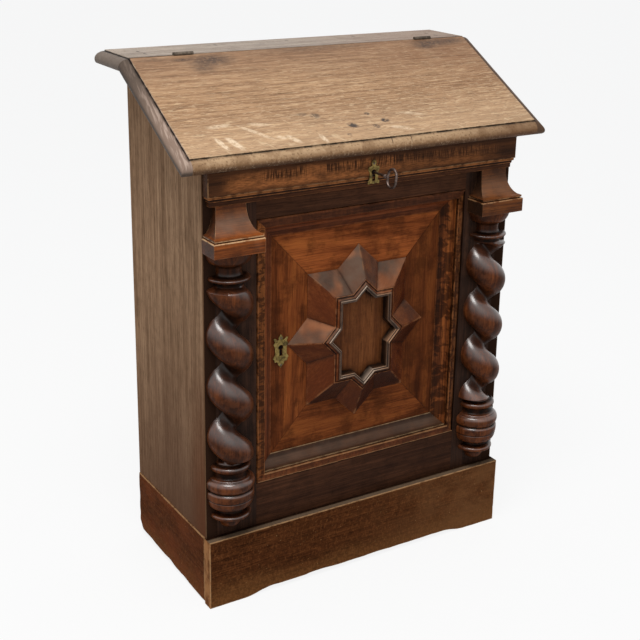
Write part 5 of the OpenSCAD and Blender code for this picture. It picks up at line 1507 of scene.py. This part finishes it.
@dataclass
class Door:
    """The door: mitred frame, hollow moulding, four field boards and the raised star."""

    plan: Plan
    band: float = 14.1 * MM
    hollow: float = 24 * MM
    step: float = 6.3 * MM
    drop: float = 16.5 * MM
    gap: float = 0.12 * MM

    def __post_init__(self) -> None:
        """Reads the door's place from the frame."""
        left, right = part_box("door_stile_left"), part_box("door_stile_right")
        self.front = left[0][1]
        self.back = left[1][1]
        self.x = right[1][0]
        self.z0, self.z1 = left[0][2], left[1][2]
        self.mid = (self.z0 + self.z1) / 2
        self.field_y = self.front + self.step + self.drop
        self.field_w = self.x - self.band - self.hollow
        self.field_h = (self.z1 - self.z0) / 2 - self.band - self.hollow

    def seat(self, way: int, y: float, wide: float, high: float) -> tuple[Triple, Triple, Triple]:
        """Where a strip round the door starts, which way it runs and which way is inwards.

        Args:
            way: 0 bottom, 1 top, 2 left, 3 right.
            y: Depth.
            wide: Half the width between the upright strips.
            high: Half the height between the level ones.

        Returns:
            Its start, its direction and the way inwards.
        """
        sign = 1 if way % 2 == 0 else -1
        if way < 2:
            return (0, y, self.mid - sign * high), (1, 0, 0), (0, 0, sign)
        return (-sign * wide, y, self.mid), (0, 0, 1), (sign, 0, 0)

    def member(self, rows: np.ndarray, way: int, seed: int) -> Skin:
        """One side of the frame: a section carried along it, drawn in at the ends by each point's inset.

        Args:
            rows: Section as inset from the outer edge, depth behind the front, wear, and soiling with painted shade,
                counter-clockwise.
            way: 0 bottom, 1 top, 2 left, 3 right.
            seed: Picks the wood.

        Returns:
            The closed member.
        """
        steps, high = 90, (self.z1 - self.z0) / 2
        inset, deep, wear, dirt = (np.repeat(rows[::-1, k][None], steps, 0) for k in range(4))
        along = np.linspace(-1, 1, steps)[:, None] * ((self.x if way < 2 else high) - inset - self.gap)
        local = np.stack([along, inset, deep], -1)
        skin = sweep(local, local + cut(seed), wear, dirt)
        return skin.placed(*self.seat(way, self.front, self.x, high), (0, 1, 0))

    def frame_rows(self, right: bool) -> np.ndarray:
        """Section of a frame member: a flat band with eased arrises, a rebate behind the hollow moulding.

        Args:
            right: True for the member at the pivots, whose outer corner is round.

        Returns:
            The section, as member reads it.
        """
        t = self.back - self.front
        w = self.band + self.hollow
        r = 8 * MM
        if right:
            a = np.linspace(0, pi / 2, 9)
            outer = [(r - r * cos(v), r - r * sin(v), 0.5, 0) for v in a]
        else:
            outer = [(0, 1.2 * MM, 1, 0), (0.3 * MM, 0.4 * MM, 1, 0), (1.2 * MM, 0, 0.9, 0)]
        rows = outer + [(2.6 * MM if not right else 9.5 * MM, 0, 0.2, 0), (self.band - 2 * MM, 0, 0.1, 0),
                        (self.band - 0.9 * MM, 0, 0.9, 0), (self.band - 0.25 * MM, 0.3 * MM, 1, 0),
                        (self.band, 1.1 * MM, 0.6, 0), (self.band, self.step + 1 * MM, 0, 1),
                        (self.band, self.step + self.drop + 1 * MM, 0, 0),
                        (w, self.step + self.drop + 1 * MM, 0, 0), (w, t, 0, 0), (0, t, 0.3, 0)]
        return np.array(rows)

    def hollow_rows(self) -> np.ndarray:
        """Section of the hollow moulding: a narrow lip, a quarter-ellipse hollow down to the field, a square back."""
        a = np.linspace(0, pi / 2, 14)
        w = self.hollow - 1.5 * MM
        inner = self.band + self.hollow
        curve = [(inner - w * cos(v), self.step + self.drop * sin(v), 0.6 * cos(v) ** 80,
                  0.5 * (0.9 < sin(v) < 0.999)) for v in a]
        curve[-1] = (*curve[-1][:2], 1, 0)
        return np.array([(self.band + 0.05 * MM, self.step + 0.5 * MM, 0.9, 0.2),
                         (self.band + 0.4 * MM, self.step, 1, 0), *curve,
                         (inner, self.step + self.drop + 1 * MM, 0, 0),
                         (self.band + 0.05 * MM, self.step + self.drop + 1 * MM, 0, 0)])

    def field_board(self, way: int) -> Skin:
        """A field board: a slab whose ends run from the field's corners to the star's.

        Args:
            way: 0 bottom, 1 top, 2 left, 3 right.

        Returns:
            The board in its place.
        """
        star = StarShape.read(self)
        wide, high, inner, low = self.field_w, self.field_h, star.w, star.h
        if way > 1:
            wide, high, inner, low = high, wide, low, inner
        tall = high - low
        skin = slab((-1.0, 0.0), (1.0, tall), eased(2.2 * MM, 0.35 * MM), (60, 14), along=0, seed=81 + way)
        p = skin.points
        half = wide - self.gap + (inner - wide) * p[:, 1] / tall
        edge = np.sign(p[:, 0]) * (1 - np.abs(p[:, 0]))
        p[:, 0] = np.sign(p[:, 0]) * half - edge * np.where(np.abs(edge) < 0.01, 1.0, half)
        skin.grain = p + cut(90 + way)
        # Darkening, partly soiling and partly painted shade, where the board meets the hollow and along its mitred
        # joints
        skin.dirt = 0.55 * np.clip(1 - p[:, 1] / (3 * MM), 0, 1)
        skin.dirt += 0.6 * np.clip(1 - (half - np.abs(p[:, 0])) / (1.2 * MM), 0, 1)
        return skin.placed(*self.seat(way, self.field_y, self.field_w, self.field_h), (0, -1, 0))

    def build(self, finishes: Finishes) -> None:
        """Builds and dresses the door."""
        for way, (name, band, shade, hollow, field_shade) in enumerate((
                ("rail_bottom", "band_brown", 0, "hollow_brown", 0.42), ("rail_top", "band_plain", 0, "hollow_red", 0),
                ("stile_left", "band_wood", 0, "hollow_red", 0.32),
                ("stile_right", "band_wood", 0.4, "hollow_mottled", 0.56))):
            skin = self.member(self.frame_rows(way == 3), way, 100 + way).worn(0.5 * MM, 0.03, 110 + way)
            skin.shade = shade
            dress(f"door_{name}_face", skin, finishes[band], "door", [f"door_{name}"])
            dress(f"hollow_{name}", self.member(self.hollow_rows(), way, 120 + way), finishes[hollow], "door",
                  ["door_hollow_moulding"], 30)
            board = self.field_board(way)
            board.shade = field_shade
            dress(f"field_{name}", board, finishes["field_wood"], "door", ["door_field_boards"])
        finishes.paint("pine_upright", "door_panel")
        finishes.paint("dark_iron", "pivot_sockets")
        finishes.paint("filed_steel", "door_lock_case", "door_lock_cap", "door_lock_spring", "door_lock_bolt")


@dataclass
class StarShape:
    """The star's outline drawn in by any amount: eight points and eight valleys."""

    w: float
    h: float
    tip_w: float
    tip_h: float
    root_w: float
    root_h: float

    @classmethod
    def read(cls, door: Door) -> "StarShape":
        """Works the star out from the door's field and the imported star."""
        points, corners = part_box("star_points"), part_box("star_corners")
        w, h = corners[1][0], corners[1][2] - door.mid
        return cls(w, h, points[1][0], points[1][2] - door.mid, w * 0.409, h * 0.348)

    def outline(self, d: float) -> np.ndarray:
        """The 16 corners of the outline drawn in by d, counter-clockwise from the right-hand point."""
        tip_h = self.tip_h - d * hypot(self.tip_h - self.h, self.root_w) / self.root_w
        tip_w = self.tip_w - d * hypot(self.tip_w - self.w, self.root_h) / self.root_h
        root_w = (tip_h - (self.h - d)) * self.root_w / (self.tip_h - self.h)
        root_h = (tip_w - (self.w - d)) * self.root_h / (self.tip_w - self.w)
        q = [(tip_w, 0.0), (self.w - d, root_h), (self.w - d, self.h - d), (root_w, self.h - d)]
        half = q + [(0.0, tip_h)] + [(-x, y) for x, y in q[:0:-1]]
        return np.array(half + [(-x, -y) for x, y in half])


# The stepped inner edge of a facet, as share of the way in, lift in millimetres, wear, and soiling with painted shade
FACET_STEPS = [
    (0.83, 0, 0, 0), (0.84, 0, 0, 0.6), (0.85, 0.5, 0.8, 0), (0.862, 0.7, 1, 0), (0.875, 0.4, 0.7, 0),
    (0.885, -0.9, 0, 1), (0.9, -1.2, 0, 1), (0.925, -1.2, 0, 1), (0.935, -0.3, 0.5, 0), (0.95, 0.1, 0.5, 0),
    (0.975, 0.1, 0.2, 0.3), (1, -0.2, 0, 1)]


@dataclass
class Star:
    """The raised star: eight faceted blocks, a stepped bead and the tablet."""

    door: Door
    rise: float = 29.3 * MM
    edge: float = 1.2 * MM
    tablet: float = 13.6 * MM
    bead_w: float = 3 * MM

    def __post_init__(self) -> None:
        """Reads the outline."""
        self.shape = StarShape.read(self.door)
        self.facet = self.shape.w * 0.48

    def on_field(self, skin: Skin) -> Skin:
        """Carries a surface from the field's own axes to the door."""
        return skin.placed((0, self.door.field_y, self.door.mid), *FACING)

    def ray(self, k: int) -> Skin:
        """One block: two facets that rise from the outer edge to the bead, over straight sides and a flat back.

        The height at a share t of the way in is the edge's plus t times the rise, rounded over at the crest between
        the two facets and where the sides fall away.

        Args:
            k: The outline's corner in the middle of the block.

        Returns:
            The closed block in its place.
        """
        outer, inner = self.shape.outline(0.0), self.shape.outline(self.facet)
        u = np.linspace(-1, 1, 31)
        steps = np.array(FACET_STEPS)
        t = np.concatenate([np.linspace(0, 0.81, 12), steps[:, 0]])
        ids = [(k - 1) % 16, k % 16, (k + 1) % 16]
        gu, gt = np.meshgrid(u, t, indexing="ij")
        share = np.abs(gu)[..., None]

        def blend(ring: np.ndarray) -> np.ndarray:
            """Points from the block's middle corner to the neighbour on either side."""
            side = np.where((gu < 0)[..., None], ring[ids[0]], ring[ids[2]])
            return ring[ids[1]] + (side - ring[ids[1]]) * share

        plan = blend(outer) * (1 - gt[..., None]) + blend(inner) * gt[..., None]
        middle = plan.reshape(-1, 2).mean(0)
        plan = plan + (middle - plan) * 0.0012
        crest = np.exp(-((np.abs(gu) * 22) ** 2)) * 0.35 * MM
        rim = np.exp(-((1 - np.abs(gu)) * 26)) * 0.45 * MM
        lift, light, grime_and_shade = (np.interp(gt, steps[:, 0], steps[:, c], left=0.0) for c in (1, 2, 3))
        z = self.edge + gt * (self.rise - self.edge) - crest - rim + lift * MM
        top = np.concatenate([plan, z[..., None]], -1)
        low = np.concatenate([plan, np.zeros_like(z)[..., None]], -1)
        rows, cols = top.shape[:2]
        face, ring = grid_faces(rows, cols), grid_rim(rows, cols)
        nxt = np.roll(ring, -1)
        total = rows * cols
        wall = np.stack([nxt, ring, ring + total, nxt + total], -1)
        points = np.vstack([top.reshape(-1, 3), low.reshape(-1, 3)])
        normal = np.cross(points[face[0, 1]] - points[face[0, 0]], points[face[0, 3]] - points[face[0, 0]])
        if normal[2] < 0:
            face, wall = face[:, ::-1], wall[:, ::-1]
        way = inner[ids[1]] - outer[ids[1]]
        way = way / np.linalg.norm(way)
        across = np.array([-way[1], way[0]])
        flip = np.sign(gu).ravel()
        along = points[:, :2] @ (way + 0.35 * across)
        side = points[:, :2] @ across
        grain = np.stack([along, side, points[:, 2] + np.tile(flip, 2) * 0.7], -1)
        grain += cut(130 + k)
        plain = gt < 0.83
        wear = np.tile((plain * (0.8 * np.exp(-((np.abs(gu) * 18) ** 2)) + 0.4 * np.exp(-gt * 14)) + light).ravel(), 2)
        # Painted shade, with soiling, in the valleys along the block's sides and in the grooves of its stepped edge
        dirt = np.tile((0.7 * np.exp(-((1 - np.abs(gu)) * 20)) * plain + grime_and_shade).ravel(), 2)
        skin = Skin(points, [face, wall, face[:, ::-1] + total], grain, np.clip(wear, 0, 1), np.clip(dirt, 0, 1))
        return self.on_field(skin)

    def bead(self) -> Skin:
        """The stepped bead: its section carried round the star, mitred at the 16 corners."""
        d0, d1, d2 = self.facet, self.facet + self.bead_w, self.facet + 2 * self.bead_w
        high = self.rise + 1.4 * MM
        a = np.linspace(pi, 0, 9)
        r = self.bead_w / 2
        # Each row is inset, height, wear, and soiling with painted shade in the bead's grooves
        rows = [(d0, 0, 0, 0), (d0, high - 1.6 * MM, 0, 1)]
        rows += [(d0 + r + r * cos(v) * 0.98, high - 1.3 * MM + 1.3 * MM * sin(v), 0.3 + 0.7 * sin(v), 0) for v in a]
        rows += [(d1 + 0.1 * MM, high - 2.2 * MM, 0, 1), (d1 + 0.5 * MM, self.rise - 1 * MM, 0, 0.6),
                 (d1 + 0.9 * MM, self.rise - 0.65 * MM, 0.6, 0), (d2 - 0.9 * MM, self.rise - 0.65 * MM, 0.8, 0),
                 (d2 - 0.25 * MM, self.rise - 0.95 * MM, 1, 0), (d2, self.rise - 1.8 * MM, 0.5, 0),
                 (d2, self.tablet + 2 * MM, 0, 0.6), (d2, 0, 0, 1)]
        table = np.array(rows)
        loop = divided(np.array([self.shape.outline(d) for d in table[:, 0]]), 12)
        z = np.repeat(table[:, 1:2], loop.shape[1], 1)
        points = np.concatenate([loop, z[..., None]], -1).transpose(1, 0, 2)
        length = np.linspace(0, 1.2, points.shape[0])[:, None] + np.zeros(points.shape[:2])
        grain = np.stack([length, points[..., 0], points[..., 2]], -1)
        wear, dirt = (np.repeat(table[:, k][None], points.shape[0], 0) for k in (2, 3))
        return self.on_field(sweep(points, grain, wear, dirt, closed_path=True))

    def tablet_skin(self) -> Skin:
        """The tablet: star outlines drawn in to the middle, slightly crowned, over a flat back."""
        d = self.facet + 2 * self.bead_w + 0.05 * MM
        loop = divided(self.shape.outline(d), 10)
        scale = [1.0, 1.0, 0.985, 0.94, 0.86, 0.75, 0.6, 0.45, 0.3, 0.15, 0.04]
        high = [0.0] + [self.tablet + 0.3 * MM * (1 - s * s) for s in scale[1:]]
        points = np.array([np.column_stack([loop * s, np.full(len(loop), z)]) for s, z in zip(scale, high)])
        rows, cols = points.shape[:2]
        flat = points.reshape(-1, 3)
        faces = [wrap_faces(rows, cols)[:, ::-1], ((rows - 1) * cols + np.arange(cols))[None, :],
                 np.arange(cols)[::-1][None, :]]
        # Soiling and painted shade round the tablet's edge, where it sits below the bead
        dirt = np.repeat(np.array([1, 1, 0.9, 0.45, 0.1, 0, 0, 0, 0, 0, 0.0]), cols)
        grain = flat[:, [1, 0, 2]] + [4.2, 1.7, 0.3]
        return self.on_field(Skin(flat, faces, grain, np.zeros(len(flat)), dirt))

    def build(self, finishes: Finishes) -> None:
        """Builds and dresses the star."""
        for k in range(0, 16, 2):
            node = "star_points" if k % 4 == 0 else "star_corners"
            dress(f"star_ray_{k // 2}", self.ray(k), finishes["star_wood"], "door", [node], 28)
        dress("star_bead_ring", self.bead(), finishes["bead_wood"], "door", ["star_bead"], 30)
        dress("star_tablet_face", self.tablet_skin(), finishes["tablet_wood"], "door", ["star_tablet"],
              30)


@dataclass
class Fittings:
    """The key and the two pierced escutcheons."""

    plan: Plan

    def key(self) -> Skin:
        """The key: a turned shank with collars, an oval ring bow and a flat bit."""
        lo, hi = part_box("key")
        z = (lo[2] + hi[2]) / 2
        wire, ring_r, straight, lean = 2.2 * MM, 11.7 * MM, 7 * MM, radians(8)
        centre_y = lo[1] + ring_r + wire
        a = np.linspace(0, 2 * pi, 64, endpoint=False)
        tall = np.sign(np.sin(a)) * straight / 2 * np.clip(np.abs(np.sin(a)) * 4, 0, 1)
        rise = ring_r * np.sin(a) + tall
        loop = np.column_stack([rise * sin(lean), centre_y + ring_r * np.cos(a), z + rise * cos(lean)])
        bow = tube(loop, wire, 18, closed=True, flat=0.95)
        y0, y1 = centre_y + ring_r, hi[1]
        marks = np.array([(0, 2.6), (0.8, 2.9), (1.6, 2.2), (2.4, 2.2), (2.9, 3.4), (3.6, 3.7), (4.3, 3.4), (4.8, 2.4),
                          (6, 2.2), (6.6, 3), (7.2, 3.3), (7.8, 3), (8.4, 2.15), (20, 2.05), (40, 2.1),
                          ((y1 - y0) / MM - 0.4, 2.1), ((y1 - y0) / MM, 1.6)]) * MM
        path = np.column_stack([np.zeros(len(marks)), y0 + marks[:, 0], np.full(len(marks), z)])
        shank = tube(path, marks[:, 1], 24)
        bit = slab((-1.3 * MM, -15.5 * MM), (1.3 * MM, -1.5 * MM), eased(8.3 * MM, 0.4 * MM), (4, 10))
        bit.placed((0, y1 - 10.1 * MM, z), *FACING)
        return bow.joined(shank, bit)

    def plate(self, outline: list[tuple[float, float]], holes: list[Triple], centre: Triple) -> Skin:
        """An escutcheon: a filled flat curve with a keyhole and small holes, its arrises rounded by the bevel.

        Args:
            outline: Right half of the outline from the top down, in millimetres from the keyhole's round.
            holes: Small holes as x, z and radius in millimetres.
            centre: The keyhole's place on the surface that carries the plate.

        Returns:
            The plate in its place.
        """
        curve = bpy.data.curves.new("plate", "CURVE")
        for key, value in (("dimensions", "2D"), ("fill_mode", "BOTH"), ("extrude", 0.45 * MM),
                           ("bevel_depth", 0.35 * MM), ("bevel_resolution", 3)):
            setattr(curve, key, value)
        whole = outline + [(-x, y) for x, y in outline[::-1] if x > 0]
        a = np.radians(np.linspace(-50, 230, 22))
        slot = [(-3.2, -5.2), (-3.2, -15.6), (3.2, -15.6), (3.2, -5.2)]
        arc = np.column_stack([5 * np.cos(a), 5 * np.sin(a)])
        loops = [smoothed(np.array(whole), 5, True), np.vstack([arc, slot])]
        b = np.linspace(0, 2 * pi, 14, endpoint=False)
        loops += [np.column_stack([x + r * np.cos(b), y + r * np.sin(b)]) for x, y, r in holes]
        for loop in loops:
            line = curve.splines.new("POLY")
            line.points.add(len(loop) - 1)
            line.points.foreach_set("co", np.column_stack([loop * MM, loop[:, 0] * 0, loop[:, 0] * 0 + 1]).ravel())
            line.use_cyclic_u = True
        source = shown("plate_line", curve)
        mesh = bpy.data.meshes.new_from_object(source.evaluated_get(bpy.context.evaluated_depsgraph_get()))
        shell = bmesh.new()
        shell.from_mesh(mesh)
        bmesh.ops.remove_doubles(shell, verts=shell.verts, dist=0.002 * MM)
        points = np.array([v.co for v in shell.verts])
        faces = [np.array([[v.index for v in f.verts]]) for f in shell.faces]
        shell.free()
        bpy.data.objects.remove(source)
        bpy.data.curves.remove(curve)
        bpy.data.meshes.remove(mesh)
        skin = Skin(points, faces, np.zeros_like(points), np.full(len(points), 0.4))
        return skin.placed((centre[0], centre[1] - 0.8 * MM, centre[2]), *FACING)

    def build(self, finishes: Finishes, door: Door) -> None:
        """Builds and dresses the fittings."""
        dress("lock_key", self.key(), finishes["key_steel"], "key", ["key"])
        side_holes = [(s * x, z, r) for x, z, r in ((7.4, 10.6, 1.2), (8.2, -19.6, 1.3)) for s in (1, -1)]
        for word, body, outline, holes, centre in (
                ("desk", "carcass", DESK_PLATE, [(0, 15.4, 1.7)], (0, self.plan.frieze, self.plan.key_z)),
                ("door", "door", DOOR_PLATE, [(0, 16.6, 1.3), (0, -31.0, 1.3), *side_holes],
                 (self.plan.hole[0], door.field_y, self.plan.hole[2]))):
            dress(f"{word}_plate", self.plate(outline, holes, centre), finishes["aged_brass"], body,
                  [f"{word}_escutcheon"], 30)
        finishes.paint("dark_iron", "desk_escutcheon_pins", "door_escutcheon_pins")


# Right halves of the escutcheons, from the top down, in millimetres from the keyhole's round
DESK_PLATE = [
    (0, 20.4), (2.4, 19.8), (4, 17.6), (4.2, 14.6), (3, 12), (5.4, 9.6), (8.6, 9.4), (10.8, 7), (10.6, 3.6),
    (8.8, 1.2), (8, -2.4), (8.2, -8), (8.4, -12.8), (10.6, -15.4), (11.4, -18.4), (9.6, -20), (6, -18.6), (3, -19.2),
    (0, -19.8)]
DOOR_PLATE = [
    (0, 23.5), (1.6, 21), (3.2, 19.4), (4.2, 16.6), (3.6, 14), (6.2, 13.4), (8.6, 15.2), (11, 17.2), (13.6, 16.6),
    (12.6, 14), (11.2, 11.4), (12.6, 8.4), (13.8, 6.2), (12, 3), (11.2, -2), (11, -8), (11.2, -13), (13.4, -15.8),
    (14.8, -19.2), (13, -20.2), (12.6, -23.6), (10.6, -25.8), (8, -25), (6.2, -26.6), (5.4, -30), (3.2, -32.6),
    (1.2, -34.6), (0, -37)]


@dataclass
class Studio:
    """Floor, lamps, sky and camera."""

    plan: Plan

    def floor(self) -> None:
        """A wide pale floor: its colour is lifted towards white for the camera and in reflections only."""
        r = 30
        mesh = bpy.data.meshes.new("floor")
        mesh.from_pydata([(-r, -r, 0), (r, -r, 0), (r, r, 0), (-r, r, 0)], [], [(0, 1, 2, 3)])
        t = Tree(bpy.data.materials.new("floor_paint"))
        grey = t.mix(t.noise(t.place(), 3, 2, 0.5), (0.8, 0.8, 0.8, 1), (0.84, 0.84, 0.84, 1))
        t.split("Material", 0.87, t.node("BsdfDiffuse", {"Color": grey}), t.node("Emission", {"Strength": 1}))
        mesh.materials.append(t.owner)
        shown("floor", mesh)

    def sky(self) -> None:
        """An even sky: soft for the light it gives, white where it is seen."""
        world = bpy.data.worlds.new("sky")
        bpy.context.scene.world = world
        t = Tree(world)
        t.split("World", 1, t.node("Background", {"Color": (0.93, 0.97, 1, 1), "Strength": 0.5}),
                t.node("Background", {"Color": (1, 1, 1, 1), "Strength": 1}))

    def lamp(self, name: str, at: Triple, aim: Triple, size: float, power: float, colour: Triple) -> None:
        """A square soft lamp that faces a point."""
        light = bpy.data.lights.new(name, "AREA")
        light.size = size
        light.energy = power
        light.color = colour
        lamp = shown(name, light)
        lamp.location = at
        lamp.rotation_euler = (Vector(aim) - Vector(at)).to_track_quat("-Z", "Y").to_euler()

    def camera(self) -> None:
        """The photograph's camera, solved from the chest's own edges for a square picture."""
        azimuth, elevation, roll = (radians(v) for v in (32.01, 18.42, 1.09))
        picture, focal, centre, sensor = 640, 1215.1, (324.1, 275.5), 36
        ahead = Vector((sin(azimuth) * cos(elevation), cos(azimuth) * cos(elevation), -sin(elevation)))
        level = Vector((cos(azimuth), -sin(azimuth), 0))
        above = level.cross(ahead)
        right = level * cos(roll) + above * sin(roll)
        up = above * cos(roll) - level * sin(roll)
        data = bpy.data.cameras.new("camera")
        data.sensor_width = sensor
        data.lens = focal / picture * sensor
        data.shift_x = (picture / 2 - centre[0]) / picture
        data.shift_y = (centre[1] - picture / 2) / picture
        data.clip_end = 100
        camera = shown("camera", data)
        camera.matrix_world = Matrix.Translation((-1.1078, self.plan.face - 1.642, 1.2084)) @ Matrix(
            (right, up, -ahead)).transposed().to_4x4()
        bpy.context.scene.camera = camera

    def build(self) -> None:
        """Sets up the studio."""
        self.floor()
        self.sky()
        self.lamp("overhead", (-0.85, -0.85, 3.2), (0, 0, 0.5), 1.15, 54, (1, 0.985, 0.96))
        self.lamp("front", (-0.6, -3.8, 2.6), (0, 0, 0.5), 4, 22, (1, 0.98, 0.95))
        self.camera()
        bpy.context.scene.view_settings.view_transform = "Standard"


FRAME: dict = {}


def main() -> None:
    """Builds the chest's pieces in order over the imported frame."""
    logging.basicConfig(level=logging.INFO, format="%(message)s")
    for stray in list(bpy.data.objects):
        bpy.data.objects.remove(stray)
    FRAME.update(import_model())
    plan = Plan.read()
    finishes = Finishes().build(plan)
    LidAndTop(plan).build(finishes)
    Carcass(plan).build(finishes)
    Columns(plan).build(finishes)
    Capitals(plan).build(finishes)
    door = Door(plan)
    door.build(finishes)
    Star(door).build(finishes)
    Fittings(plan).build(finishes, door)
    Studio(plan).build()


if __name__ == "__main__":
    main()
